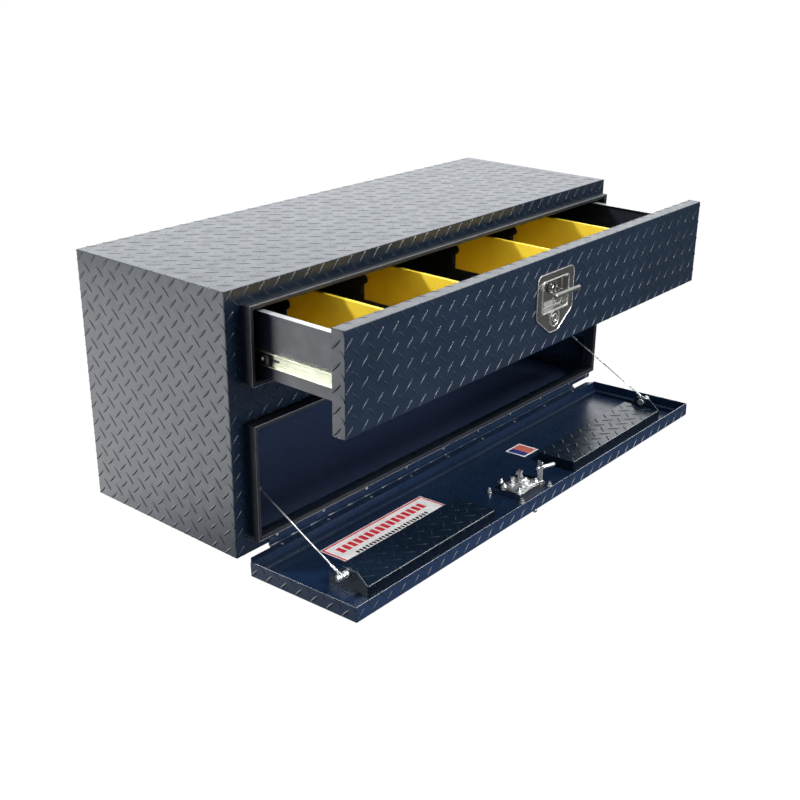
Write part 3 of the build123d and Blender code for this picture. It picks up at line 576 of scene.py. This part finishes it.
def drawer_tread():
    """Tread plate on the drawer front and its four flanges."""
    x0, x1 = FRONT_LOW.x, FRONT_HIGH.x
    z0, z1 = FRONT_LOW.z, FRONT_HIGH.z
    y0, y1 = FRONT_LOW.y, FRONT_HIGH.y
    wide, tall, deep = x1 - x0, z1 - z0, y1 - y0
    hub_x, hub_z = DRAWER_LATCH.origin.x - x0, DRAWER_LATCH.origin.z - z0
    clear = (
        hub_x - PLATE_HALF + LATCH_CLEAR, hub_z + PLATE_LOW + LATCH_CLEAR,
        hub_x + PLATE_HALF - LATCH_CLEAR, hub_z + PLATE_TOP - LATCH_CLEAR,
    )
    face = Place((x0, y0, z0), (1, 0, 0), (0, -1, 0))
    tread("tread_drawer", face, 1, wide - 1, 1, tall - 1, "drawer", clear)
    left = Place((x0, y1, z0), (0, -1, 0), (-1, 0, 0))
    tread("tread_drawer_left", left, 0, deep - 1, 1, tall - 1, "drawer")
    right = Place((x1, y0, z0), (0, 1, 0), (1, 0, 0))
    tread("tread_drawer_right", right, 1, deep, 1, tall - 1, "drawer")
    top = Place((x0, y0, z1), (1, 0, 0), (0, 0, 1))
    tread("tread_drawer_top", top, 1, wide - 1, 1, deep, "drawer", height=TOP_LUG_HIGH)
    under = Place((x0, y1, z0), (1, 0, 0), (0, 0, -1))
    tread("tread_drawer_under", under, 1, wide - 1, 0, deep - 1, "drawer")


# Stiffeners on the door's inside: distances from the hinge edge, and height.
STIFF_NEAR = 130.0
STIFF_FAR = 224.0
STIFF_HIGH = 24.5


def door_tread():
    """Tread plate on the door's outside, its flanges and the two stiffeners."""
    x0, x1 = corners("door_pan")[0].x, corners("door_pan")[1].x
    wide = x1 - x0
    hub_x = LATCH_X - x0
    hub_y = -(DOOR_LATCH.origin - DOOR.origin).dot(DOOR.y)
    clear = (
        hub_x - PLATE_HALF + LATCH_CLEAR, hub_y + PLATE_LOW + LATCH_CLEAR,
        hub_x + PLATE_HALF - LATCH_CLEAR, hub_y + PLATE_TOP - LATCH_CLEAR,
    )
    outside = Place(DOOR.at(x0, 0, 0), (1, 0, 0), -DOOR.z)
    tread("tread_door", outside, 1, wide - 1, 1, DOOR_TALL - 1, "door", clear)
    edge = Place(DOOR.at(x0, -DOOR_TALL, 0), (1, 0, 0), -DOOR.y)
    tread("tread_door_edge", edge, 1, wide - 1, 1, DOOR_FLANGE, "door")
    left = Place(DOOR.at(x0, 0, 0), -DOOR.y, (-1, 0, 0))
    tread("tread_door_left", left, 2, DOOR_TALL - 1, 1, DOOR_FLANGE, "door")
    right = Place(DOOR.at(x1, -DOOR_TALL, 0), DOOR.y, (1, 0, 0))
    tread("tread_door_right", right, 1, DOOR_TALL - 2, 1, DOOR_FLANGE, "door")
    for side in ("left", "right"):
        low, high = corners(f"door_stiffener_{side}")
        long = high.x - low.x - 2
        start, stop = (3, long) if side == "left" else (0, long - 3)
        name = f"tread_stiffener_{side}"
        top = Place(DOOR.at(low.x + 1, -STIFF_FAR, STIFF_HIGH), (1, 0, 0), DOOR.z)
        tread(name, top, start, stop, 1, STIFF_FAR - STIFF_NEAR - 1, "door")
        front = Place(DOOR.at(low.x + 1, -STIFF_FAR, SHEET), (1, 0, 0), -DOOR.y)
        tread(f"{name}_front", front, 3, long - 3, 1, STIFF_HIGH - SHEET - 1, "door")


# ---- latches -------------------------------------------------------------------------------
PAN_HALF = 46.0          # sunk pan for the handle
PAN_TOP = 22.0
PAN_LOW = -42.0
PAN_FLOOR = -12.6
PLATE_SHEET = 1.8
PLUG_Y = -58.0           # key plug, below the turning axis
BOSS_OUT = 3.5
GRIP_OUT = 27.5          # axis of the grip, out from the skin
GRIP_HALF = 43.0


def shield(grow, radius=13.0, steps=5):
    """Outline of the latch plate grown by an amount, with round corners."""
    half, top = PLATE_HALF + grow, PLATE_TOP + grow
    low, foot = PLATE_LOW - grow, 14.0 + 0.4 * grow
    turns = [
        (half, top), (-half, top), (-half, PLATE_SHOULDER), (-foot, low), (foot, low),
        (half, PLATE_SHOULDER),
    ]
    outline = []
    for i, corner in enumerate(turns):
        corner = Vector(corner)
        before = (Vector(turns[i - 1]) - corner).normalized()
        after = (Vector(turns[(i + 1) % len(turns)]) - corner).normalized()
        half_angle = before.angle(after) / 2
        start = corner + before * (radius / math.tan(half_angle))
        stop = corner + after * (radius / math.tan(half_angle))
        centre = corner + (before + after).normalized() * (radius / math.sin(half_angle))
        a, b = start - centre, stop - centre
        for step in range(steps + 1):
            outline.append(tuple(centre + a.slerp(b, step / steps) * radius))
    return outline


def raised(outline, z):
    return [(x, y, z) for x, y in outline]


def latch_dish(tag, place, body):
    """Gasket, rolled rim and pan details of one latch."""
    mesh_data = bmesh.new()
    pipe(mesh_data, raised(shield(0.6), 0.7), 1.1, 6, True)
    piece(f"{tag}_latch_gasket", mesh_data, place, body, RUBBER)

    mesh_data = bmesh.new()
    inner = PAN_HALF - 0.7
    rim = rounded(-inner, PAN_LOW + 0.7, inner, PAN_TOP - 0.7, 6.0)
    pipe(mesh_data, raised(rim, PLATE_SHEET), 1.5, 8, True)
    pipe(mesh_data, raised(shield(-0.9), PLATE_SHEET - 0.2), 1.1, 8, True)
    foot = rounded(-inner + 1.6, PAN_LOW + 2.6, inner - 1.6, PAN_TOP - 2.6, 4.0)
    pipe(mesh_data, raised(foot, PAN_FLOOR + 0.3), 1.3, 6, True)
    piece(f"{tag}_latch_rim", mesh_data, place, body, RIM)

    # Keeper pad on the pan floor under the folded grip, with two rivets.
    mesh_data = bmesh.new()
    prism(mesh_data, rounded(-15, -40.2, 15, -27, 3), PAN_FLOOR, PAN_FLOOR + 0.5, 0.3)
    dome = [(2.6, 0), (2.5, 0.7), (1.5, 0.9), (0.2, 1.0)]
    for x in (-10, 10):
        lathe(mesh_data, [(radius, PAN_FLOOR + z) for radius, z in dome], x, -33.5, 16)
    piece(f"{tag}_latch_keeper", mesh_data, place, body, RIM)

    # Rolled rim of the lock boss and collar of the key plug.
    mesh_data = bmesh.new()
    collar = [(x, y + PLUG_Y, BOSS_OUT) for x, y in circle(8.1, 32)]
    pipe(mesh_data, collar, 0.9, 8, True)
    rim = [(x, y + PLUG_Y, BOSS_OUT - 0.7) for x, y in slot_outline(14.3, 2.5)]
    pipe(mesh_data, rim, 1.5, 8, True)
    piece(f"{tag}_latch_collar", mesh_data, place, body, RIM)

    # Rounded ledge along the low edge of the pan.
    mesh_data = bmesh.new()
    ledge = [(x, PAN_LOW - 0.2, PLATE_SHEET + 0.4) for x in (-43.5, 43.5)]
    pipe(mesh_data, ledge, 2.2, 12)
    piece(f"{tag}_latch_ledge", mesh_data, place, body, RIM)


def slot_outline(radius, half, steps=12):
    """Outline of an upright slot."""
    outline = []
    for start, cy in ((0, half), (180, -half)):
        for step in range(steps + 1):
            a = math.radians(start + 180 * step / steps)
            outline.append((radius * math.cos(a), cy + radius * math.sin(a)))
    return outline


def latch_hub(tag, place, body, grip_body):
    """Dark ring round the turning hub, bright hub lips, and the grip's ends and web."""
    mesh_data = bmesh.new()
    ring = raised(circle(11.2, 36), PAN_FLOOR + 0.6)
    pipe(mesh_data, ring, 0.45, 8, True)
    piece(f"{tag}_hub_ring", mesh_data, place, body, RUBBER)

    # Bright lips on the two halves of the slotted hub.
    mesh_data = bmesh.new()
    for start in (-62, 118):
        arc = [math.radians(start + 124 * step / 16) for step in range(17)]
        lip = [(9.0 * math.cos(a), 9.0 * math.sin(a), -0.9) for a in arc]
        pipe(mesh_data, lip, 0.8, 8)
    piece(f"{tag}_hub_lips", mesh_data, place, body, RIM)

    mesh_data = bmesh.new()
    button = [(3.3, -0.6), (3.1, 0.35), (2.2, 0.8), (0.2, 1.0)]
    for side in (-1, 1):
        turn = Matrix.Rotation(math.radians(90 * side), 4, "Y")
        at_end = Matrix.Translation((side * GRIP_HALF, 0, GRIP_OUT)) @ turn
        add_turned(mesh_data, lambda part: lathe(part, button, steps=20), at_end)
    web = [(-3.0, -4.6), (3.0, -4.6), (3.0, 4.6), (-3.0, 4.6)]
    prism(mesh_data, web, GRIP_OUT - 7.5, GRIP_OUT - 2.0, 0.8)
    piece(f"{tag}_grip_ends", mesh_data, place, grip_body, STAINLESS)


def merge(target, source):
    """Add one bmesh to another and free it."""
    mesh = bpy.data.meshes.new("part")
    source.to_mesh(mesh)
    source.free()
    target.from_mesh(mesh)
    bpy.data.meshes.remove(mesh)


def add_turned(mesh_data, build, matrix):
    """Run a build step in a bmesh of its own and add it under a matrix."""
    part = bmesh.new()
    build(part)
    bmesh.ops.transform(part, matrix=matrix, verts=part.verts)
    merge(mesh_data, part)


def hex_nut(mesh_data, x, y, z, across=5.0, high=4.0):
    """Nut with a chamfered top and its stud end."""
    corner = across / math.cos(math.pi / 6)
    top = z + high
    prism(mesh_data, circle(corner, 6, x, y, random.random()), z, top, 0.6)
    end = [(2.5, top - 0.2), (2.5, top + 3.2), (1.8, top + 3.9), (0.2, top + 4.0)]
    lathe(mesh_data, end, x, y, 16)


def coil(mesh_data, radius, wire, turns, z0, z1, tail, per_turn=22):
    """Round-wire coil about the local z axis, with a straight tail at each end."""
    steps = per_turn * turns
    path = [(radius, -tail, z0)]
    for step in range(steps + 1):
        a = 2 * math.pi * step / per_turn
        path.append((radius * math.cos(a), radius * math.sin(a), z0 + (z1 - z0) * step / steps))
    path.append((radius, tail, z1))
    pipe(mesh_data, path, wire, 6)


def door_mechanism():
    """Zinc works on the back of the door latch."""
    # Seen from inside the door: x along the width, y toward the hinge, z into the box.
    inside_at = Place(DOOR_LATCH.origin, (1, 0, 0), DOOR.z)
    top = 14.0
    mesh_data = bmesh.new()
    prism(mesh_data, rounded(-39, -17, 33, 34, 4), top, top + 1.8, 0.5)
    prism(mesh_data, rounded(-20, 16, 16, 33, 3), top + 1.6, top + 4.2, 0.6)
    for x, y in ((-33, -11), (27, -11), (-33, 28), (27, 28)):
        hex_nut(mesh_data, x, y, top + 1.7)
    piece("door_works_base", mesh_data, inside_at, "door", ZINC)

    # Spring tower: upright bent strip and a post with a washer.
    mesh_data = bmesh.new()
    strip = [(0, 0), (14, 0), (14, 2), (4.5, 3), (3, 18), (7, 21), (2, 24), (-1, 20)]
    turn = Matrix.Translation((12, 24, top + 1.4)) @ Matrix.Rotation(math.radians(90), 4, "X")
    add_turned(mesh_data, lambda part: prism(part, strip, 0, 9, 0.0), turn)
    post = [(4.2, 1), (4.2, 12), (5.6, 12.2), (5.6, 14), (3.4, 15), (0.3, 15.4)]
    lathe(mesh_data, [(radius, top + z) for radius, z in post], -8, 24, 20)
    coil(mesh_data, 6.2, 0.8, 4, top + 2, top + 11, 10)
    piece("door_works_spring", mesh_data, inside_at, "door", ZINC)

    # Cam that turns with the handle, under the latch arm.
    cam = DOOR_HANDLE.facing((1, 0, 0), (0, 0, -1))
    mesh_data = bmesh.new()
    lobe = [(-9, -15), (9, -15), (15, -4), (13, 10), (4, 15), (-8, 13), (-15, 2)]
    prism(mesh_data, lobe, 18.3, 20.6, 0.5)
    lathe(mesh_data, [(8.6, 22.5), (8.6, 26.2), (7.6, 27.0), (0.3, 27.2)], 0, 0, 24)
    for index in range(3):
        a = 2 * math.pi * index / 3 + 0.6
        x, y = 11.5 * math.cos(a), 11.5 * math.sin(a)
        lathe(mesh_data, [(2.4, 20.3), (2.4, 22.4), (1.6, 23.0), (0.2, 23.2)], x, y, 14)
    piece("door_works_cam", mesh_data, cam, "door_hub", ZINC)

    # Lever on the back of the key plug.
    plug = inside_at.moved(0, -PLUG_Y, 0)
    mesh_data = bmesh.new()
    prism(mesh_data, rounded(-6, -15, 6, 8, 5), 3.0, 5.0, 0.5)
    hex_nut(mesh_data, 0, 0, 5.0, 4.5, 3.0)
    piece("door_works_lever", mesh_data, plug, "door_key_plug", ZINC)


# ---- door cables ---------------------------------------------------------------------------
CABLE_R = 1.45
STRANDS = 6
TWIST = 17.0             # length of one full turn of a strand
STUD_R = 4.0
ANCHOR_R = 3.0
EYE_GAP = 1.4            # eye's wire centre, out from its stud


def loop_path(centre, along, radius, reach):
    """A wire eye round a stud and back into its ferrule, in the plane across X."""
    along = along.normalized()
    side = Vector((1, 0, 0)).cross(along)
    path = [centre + along * reach + side * 1.1]
    for step in range(19):
        a = math.radians(40 + 280 * step / 18)
        path.append(centre + along * (radius * math.cos(a)) + side * (radius * math.sin(a)))
    path.append(centre + along * reach - side * 1.1)
    return path


def cable(side, x):
    """Twisted cable between the anchor and the door stud, with an eye at each end."""
    node = f"cable_{side}"
    stud = Vector((x, *STUD_YZ))
    anchor = Vector((x, *ANCHOR_YZ))
    along = (anchor - stud).normalized()
    reach = 12.0
    start, stop = stud + along * reach, anchor - along * reach
    length = (stop - start).length
    across = along.orthogonal().normalized()
    other = along.cross(across)
    mesh_data = bmesh.new()
    steps = int(length / 2.2)
    for strand in range(STRANDS):
        path = []
        for step in range(steps + 1):
            d = length * step / steps
            a = 2 * math.pi * (d / TWIST + strand / STRANDS)
            offset = across * math.cos(a) + other * math.sin(a)
            path.append(start + along * d + offset * (CABLE_R * 0.62))
        pipe(mesh_data, path, CABLE_R * 0.42, 5)
    pipe(mesh_data, [start, start + along * length], CABLE_R * 0.5, 6)
    rope = piece(f"{node}_rope", mesh_data, ROW, None, WIRE, 60.0)
    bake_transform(rope)
    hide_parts(node)

    ferrule = [(2.3, 0), (2.75, 0.7), (2.75, 6), (2.45, 7), (2.75, 8), (2.75, 15), (2.3, 16)]
    for end, centre, toward, radius, body in (
        ("low", stud, along, STUD_R + EYE_GAP, "door"),
        ("high", anchor, -along, ANCHOR_R + EYE_GAP, "cabinet"),
    ):
        mesh_data = bmesh.new()
        pipe(mesh_data, loop_path(centre, toward, radius, 15.0), 1.2, 8)
        sleeve = Place(centre + toward * 13.0, (1, 0, 0), toward)
        to_row = Matrix.Scale(1 / MM, 4) @ sleeve.matrix()
        add_turned(mesh_data, lambda part: lathe(part, ferrule, steps=18), to_row)
        piece(f"{node}_eye_{end}", mesh_data, ROW, body, ZINC)


def stud_point():
    """Middle of the door studs' box across X, which is their axis."""
    low, high = corners("cable_studs")
    return (low.y + high.y) / 2, (low.z + high.z) / 2


STUD_YZ = stud_point()
ANCHOR_YZ = (28.0, 129.5)
CABLE_X = 68.0


# ---- door label and sticker ----------------------------------------------------------------
def flat(name, place, outline, z0, z1, body, material):
    mesh_data = bmesh.new()
    prism(mesh_data, outline, z0, z1, 0.05)
    return piece(name, mesh_data, place, body, material)


def dashes(mesh_data, x0, x1, y0, y1, long, gap, z):
    """A row of plain upright dashes."""
    x = x0
    while x + long <= x1:
        prism(mesh_data, rounded(x, y0, x + long, y1, 1.2, 2), z - 0.05, z + 0.08)
        x += long + gap


def labels():
    """White label with a red edge and two rows of plain dashes; small plain decal."""
    low, high = corners("door_label")
    film_top = SHEET + 0.3
    print_low, print_high = film_top - 0.05, film_top + 0.08
    near, far = 36.0, 118.0          # label's edges, from the hinge edge
    label = Place(DOOR.at(low.x, -far, 0), (1, 0, 0), DOOR.z)
    long, tall = high.x - low.x, far - near
    mesh_data = bmesh.new()
    edge = 4.2
    for outline in (
        rounded(2, 2, long - 2, 2 + edge, 1), rounded(2, tall - 2 - edge, long - 2, tall - 2, 1),
        rounded(2, 2, 2 + edge, tall - 2, 1), rounded(long - 2 - edge, 2, long - 2, tall - 2, 1),
    ):
        prism(mesh_data, outline, print_low, print_high)
    dashes(mesh_data, 22, long - 22, 41, 63, 11.0, 5.0, film_top)
    piece("label_red_print", mesh_data, label, "door", RED_FILM)
    mesh_data = bmesh.new()
    dashes(mesh_data, 40, long - 40, 18, 28, 6.0, 3.4, film_top)
    piece("label_dark_print", mesh_data, label, "door", DARK_FILM)

    decal = Place(DOOR.at(corners("door_sticker")[0].x, -96, 0), (1, 0, 0), DOOR.z)
    flat("sticker_coral", decal, rounded(4, 4, 51, 49, 2), print_low, print_high,
         "door", PINK_FILM)
    flat("sticker_blue", decal, rounded(4, 4, 22, 49, 2), film_top + 0.02, film_top + 0.14,
         "door", BLUE_FILM)


# ---- drawer slides -------------------------------------------------------------------------
def slide_details():
    """Rolled grooves, rivet and stop on the visible slide members."""
    for side, out in (("left", -1), ("right", 1)):
        low, high = corners(f"slide_inner_{side}")
        face = high.x - 1.5 if side == "left" else low.x + 1.5
        wall = Place((face, low.y, (low.z + high.z) / 2), (0, 1, 0), (out, 0, 0))
        mesh_data = bmesh.new()
        long = high.y - low.y
        for y in (-6.2, 6.2):
            groove = rounded(6, y - 0.9, long - 8, y + 0.9, 0.8)
            prism(mesh_data, groove, -0.1, 0.45, 0.3)
        piece(f"slide_{side}_grooves", mesh_data, wall, "drawer", SLIDE_ZINC)

        low, high = corners(f"slide_middle_{side}")
        face = low.x + 3.2 if side == "left" else high.x - 3.2
        wall = Place((face, low.y, (low.z + high.z) / 2), (0, 1, 0), (out, 0, 0))
        mesh_data = bmesh.new()
        dome = [(3.6, -0.2), (3.5, 0.9), (2.6, 1.7), (0.3, 2.0)]
        lathe(mesh_data, dome, 17, 0, 22)
        body = f"slide_{side}"
        piece(f"slide_{side}_rivets", mesh_data, wall, body, ZINC)

        mesh_data = bmesh.new()
        tab = [(0, -7.6), (3, -8.4), (9, -8.4), (9, 8.4), (3, 8.4), (0, 3)]
        prism(mesh_data, tab, 0.0, 1.6, 0.5)
        piece(f"slide_{side}_stop", mesh_data, wall, body, BLACK_PLASTIC)


# ---- bins, welds and small sheet-metal marks -----------------------------------------------
def bin_details():
    """Rolled rims on the bins, and ribs and hooks on the divider plates."""
    for number in (1, 2, 3, 4):
        low, high = corners(f"bin_{number}")
        left, right = low.x, high.x
        mesh_data = bmesh.new()
        y0, y1, z = low.y + 2, high.y - 2, high.z
        pipe(mesh_data, [(right - 1.2, y0, z - 1.1), (right - 1.2, y1, z - 1.1)], 1.4, 8)
        pipe(mesh_data, [(left + 2, y0, z - 1.0), (right - 7, y0, z - 1.0)], 1.5, 8)
        pipe(mesh_data, [(left + 2, y1, z - 1.0), (right - 7, y1, z - 1.0)], 1.5, 8)
        piece(f"bin_{number}_rim", mesh_data, ROW, "drawer", YELLOW)

        low, high = corners(f"divider_{number}")
        mesh_data = bmesh.new()
        plane = Place((low.x, 0, 0), (0, -1, 0), (-1, 0, 0))
        for y in (-30, -62, -94):
            prism(mesh_data, rounded(y - 1.4, low.z + 8, y + 1.4, high.z - 8, 1.2), -0.2, 1.3, 0.5)
        prism(mesh_data, rounded(-110, high.z - 5, -12, high.z - 1.5, 1.4), -0.2, 1.6, 0.5)
        prism(mesh_data, rounded(-13, high.z - 40, -7, high.z - 22, 2.5), -0.2, 2.2, 0.6)
        piece(f"divider_{number}_ribs", mesh_data, plane, "drawer", BLACK_PLASTIC)


def painted_seal_highlights():
    """Pale bead along the outer edge of each opening's rubber; its pale colour is a painted
    highlight where that edge catches light.
    """
    for name, low, high in (
        ("drawer", SEAL_LOW, SEAL_HIGH), ("door", BAY_SEAL_LOW, BAY_SEAL_HIGH)
    ):
        mesh_data = bmesh.new()
        inset = 0.6
        x0, x1, z0, z1 = low.x + inset, high.x - inset, low.z + inset, high.z - inset
        y = low.y + 0.8
        pipe(mesh_data, [(x0, y, z0), (x1, y, z0), (x1, y, z1), (x0, y, z1)], 0.8, 8, True)
        piece(f"painted_seal_highlight_{name}", mesh_data, ROW, "cabinet", SEAL_HIGHLIGHT_COAT, 60.0)


def painted_edge_highlights():
    """Pale strips on the tray rims, the free edges of the door's flanges and the stiffeners; their
    pale colour is a painted highlight where those edges catch light.
    """
    mesh_data = bmesh.new()
    top = TRAY_HIGH.z
    for outer, inner in (
        (TRAY_LOW.x, TRAY_LOW.x + TRAY_RIM), (TRAY_HIGH.x, TRAY_HIGH.x - TRAY_RIM)
    ):
        rim = rounded(min(outer, inner), FRONT_HIGH.y, max(outer, inner), TRAY_HIGH.y - 1, 1.0)
        prism(mesh_data, rim, top - 0.2, top + 0.5)
    piece("tray_rim_highlights", mesh_data, ROW, "drawer", EDGE_HIGHLIGHT_COAT)

    low, high = corners("door_pan")
    x0, x1, far = low.x + 0.9, high.x - 0.9, -DOOR_TALL + 0.9
    mesh_data = bmesh.new()
    level = DOOR_FLANGE - 0.5
    path = [(x0, -12, level), (x0, far, level), (x1, far, level), (x1, -12, level)]
    pipe(mesh_data, path, 0.75, 6)
    for side in ("left", "right"):
        low, high = corners(f"door_stiffener_{side}")
        a, b = low.x + 3, high.x - 3
        z = STIFF_HIGH - 0.6
        pipe(mesh_data, [(a, -STIFF_FAR + 0.6, z), (b, -STIFF_FAR + 0.6, z)], 0.8, 6)
    piece("door_edge_highlights", mesh_data, DOOR, "door", EDGE_HIGHLIGHT_COAT)


def weld_bead(mesh_data, start, stop, width=2.4):
    """A bead of overlapping ripples between two points."""
    start, stop = Vector(start), Vector(stop)
    count = max(3, int((stop - start).length / 2.2))
    path, sizes = [], []
    for step in range(count * 3 + 1):
        t = step / (count * 3)
        wobble = Vector((random.uniform(-1, 1), 0, random.uniform(-1, 1))) * 0.18
        path.append(start.lerp(stop, t) + wobble)
        sizes.append(width * (0.42 + 0.10 * math.cos(2 * math.pi * t * count)))
    pipe(mesh_data, path, sum(sizes) / len(sizes), 6)


def welds():
    """Seams where the rails meet the stiles, and at the corners of the lips and flanges."""
    mesh_data = bmesh.new()
    rails = (SEAL_LOW.z + SEAL_SIDE, BAY_SEAL_HIGH.z - SEAL_SIDE)
    for x, toward in ((STILE, -1), (WIDTH - STILE, 1)):
        for z in rails:
            weld_bead(mesh_data, (x, -0.2, z), (x + toward * 20, -0.2, z + 0.6))
        for z in (SEAL_LOW.z, SEAL_HIGH.z, BAY_SEAL_LOW.z, BAY_SEAL_HIGH.z):
            inward = SEAL_SIDE if z in (SEAL_LOW.z, BAY_SEAL_LOW.z) else -SEAL_SIDE
            weld_bead(mesh_data, (x, -0.5, z + inward), (x, -LIP_SHOWN, z + inward), 1.8)
    piece("cabinet_welds", mesh_data, ROW, "cabinet", TREAD, 70.0)

    mesh_data = bmesh.new()
    low, high = FRONT_LOW, FRONT_HIGH
    for x in (low.x + 0.3, high.x - 0.3):
        for z in (low.z + 0.3, high.z - 0.3):
            weld_bead(mesh_data, (x, low.y + 1.5, z), (x, high.y, z), 1.6)
    piece("drawer_welds", mesh_data, ROW, "drawer", TREAD, 70.0)

    mesh_data = bmesh.new()
    x0, x1 = corners("door_pan")[0].x + 0.3, corners("door_pan")[1].x - 0.3
    for x in (x0, x1):
        edge_y = -DOOR_TALL + 0.3
        weld_bead(mesh_data, (x, edge_y, 1.5), (x, edge_y, DOOR_FLANGE), 1.6)
    for side in ("left", "right"):
        low, high = corners(f"door_stiffener_{side}")
        for x in (low.x + 20, (low.x + high.x) / 2, high.x - 30):
            for y in (-STIFF_FAR, -STIFF_NEAR):
                weld_bead(mesh_data, (x - 12, y, SHEET + 0.3), (x + 12, y, SHEET + 0.3), 2.6)
    piece("door_welds", mesh_data, DOOR, "door", TREAD, 70.0)


# ---- build ---------------------------------------------------------------------------------
cabinet_tread()
drawer_tread()
door_tread()
latch_dish("drawer", DRAWER_LATCH, "drawer")
latch_dish("door", DOOR_LATCH, "door")
latch_hub("drawer", DRAWER_LATCH, "drawer_hub", "drawer_grip")
latch_hub("door", DOOR_HANDLE, "door_hub", "door_grip")
door_mechanism()
cable("left", CABLE_X)
cable("right", WIDTH - CABLE_X)
labels()
slide_details()
bin_details()
painted_seal_highlights()
painted_edge_highlights()
welds()


# ---- stage: floor, light and camera --------------------------------------------------------
def area_light(name, at, toward, size, power, colour=(1, 1, 1)):
    """A soft box in metres that shines at a point and isn't seen by the camera."""
    data = bpy.data.lights.new(name, "AREA")
    data.shape = "RECTANGLE"
    data.size, data.size_y = size
    data.energy = power
    data.color = colour
    obj = bpy.data.objects.new(name, data)
    bpy.context.scene.collection.objects.link(obj)
    obj.location = at
    obj.rotation_euler = (Vector(toward) - Vector(at)).to_track_quat("-Z", "Y").to_euler()
    obj.visible_camera = False
    return obj


CAMERA_WHITE = 0.97      # share of plain white that the camera sees on the floor


def show_white(finish):
    """Show the camera a nearly white floor; what light meets is the dark grey finish."""
    nodes, links = finish.tree.nodes, finish.tree.links
    glow = nodes.new("ShaderNodeEmission")
    glow.inputs["Strength"].default_value = 1.04
    path = nodes.new("ShaderNodeLightPath")
    share = nodes.new("ShaderNodeMath")
    share.operation = "MULTIPLY"
    share.inputs[1].default_value = CAMERA_WHITE
    mix = nodes.new("ShaderNodeMixShader")
    links.new(path.outputs["Is Camera Ray"], share.inputs[0])
    links.new(share.outputs["Value"], mix.inputs["Fac"])
    links.new(finish.shader.outputs["BSDF"], mix.inputs[1])
    links.new(glow.outputs["Emission"], mix.inputs[2])
    links.new(mix.outputs["Shader"], nodes["Material Output"].inputs["Surface"])


WORLD_FRONT = 0.16       # strength of the world's light from the front
WORLD_BACK = 1.52        # and from behind
FLOOR_LEVEL = -0.75      # metres
FLOOR_REACH = 40.0


def stage():
    """Floor well below the open door, and a world; both look white to the camera."""
    floor_mesh = bpy.data.meshes.new("floor")
    signs = ((-1, -1), (1, -1), (1, 1), (-1, 1))
    square = [(x * FLOOR_REACH, y * FLOOR_REACH, FLOOR_LEVEL) for x, y in signs]
    floor_mesh.from_pydata(square, [], [(0, 1, 2, 3)])
    finish = Finish("floor_pale", (0.05, 0.05, 0.05), 0.8)
    finish.vary_colour(finish.noise(0.6, 2.0), (0.04, 0.04, 0.042), (0.06, 0.06, 0.06))
    show_white(finish)
    floor_mesh.materials.append(finish.material)
    floor = bpy.data.objects.new("floor", floor_mesh)
    bpy.context.scene.collection.objects.link(floor)

    world = bpy.data.worlds.new("studio")
    bpy.context.scene.world = world
    world.use_nodes = True
    nodes, links = world.node_tree.nodes, world.node_tree.links
    dim = nodes["Background"]
    dim.inputs["Color"].default_value = (0.93, 0.96, 0.985, 1)
    split = nodes.new("ShaderNodeSeparateXYZ")
    links.new(nodes.new("ShaderNodeTexCoord").outputs["Generated"], split.inputs["Vector"])
    fall = nodes.new("ShaderNodeMapRange")
    for name, value in (
        ("From Min", -0.9), ("From Max", 0.6), ("To Min", WORLD_FRONT), ("To Max", WORLD_BACK)
    ):
        fall.inputs[name].default_value = value
    links.new(split.outputs["Y"], fall.inputs["Value"])
    links.new(fall.outputs["Result"], dim.inputs["Strength"])
    white = nodes.new("ShaderNodeBackground")
    white.inputs["Color"].default_value = (1, 1, 1, 1)
    white.inputs["Strength"].default_value = 1.05
    path = nodes.new("ShaderNodeLightPath")
    mix = nodes.new("ShaderNodeMixShader")
    links.new(path.outputs["Is Camera Ray"], mix.inputs["Fac"])
    links.new(dim.outputs["Background"], mix.inputs[1])
    links.new(white.outputs["Background"], mix.inputs[2])
    links.new(mix.outputs["Shader"], nodes["World Output"].inputs["Surface"])


# Lights in metres and watts: place, aim, size, power.
stage()
bpy.context.scene.view_settings.view_transform = "Standard"
area_light("left_box", (-0.9, 1.37, -0.3), (0.0, 0.2, 0.25), (1.6, 0.9), 12.5)
area_light("back_box", (3.4, 2.9, 2.2), (0.6, 0.2, 0.5), (4.5, 2.2), 25)
area_light("front_box", (1.0, -1.9, 2.3), (0.5, -0.2, 0.1), (1.0, 0.8), 80)
area_light("glint_box", (1.4, -4.0, 0.8), (0.5, 0.0, 0.3), (1.6, 0.8), 62)
area_light("shadow_key", (-1.4, 1.5, 2.2), (0.5, -0.1, 0.45), (0.35, 0.35), 95)
COOL = (0.8, 0.88, 1.0)
fill = area_light("bay_fill", (0.3, -1.7, 0.14), (0.6, 0.3, 0.15), (1.2, 0.3), 24, COOL)
fill.visible_glossy = False

# Camera at the photo's angle: place in metres, view and right-hand directions, lens.
CAMERA_AT = (-1.23569, -1.41125, 1.0871)
CAMERA_FORWARD = (0.71004, 0.59057, -0.3835)
CAMERA_RIGHT = (0.64251, -0.76621, 0.00968)
camera_data = bpy.data.cameras.new("camera")
camera_data.sensor_width = 36.0
camera_data.lens = 52.42
camera = bpy.data.objects.new("camera", camera_data)
bpy.context.scene.collection.objects.link(camera)
forward = Vector(CAMERA_FORWARD).normalized()
right = Vector(CAMERA_RIGHT)
right = (right - forward * right.dot(forward)).normalized()
up = right.cross(forward)
camera.matrix_world = Matrix((
    (right.x, up.x, -forward.x, CAMERA_AT[0]),
    (right.y, up.y, -forward.y, CAMERA_AT[1]),
    (right.z, up.z, -forward.z, CAMERA_AT[2]),
    (0, 0, 0, 1),
))
bpy.context.scene.camera = camera
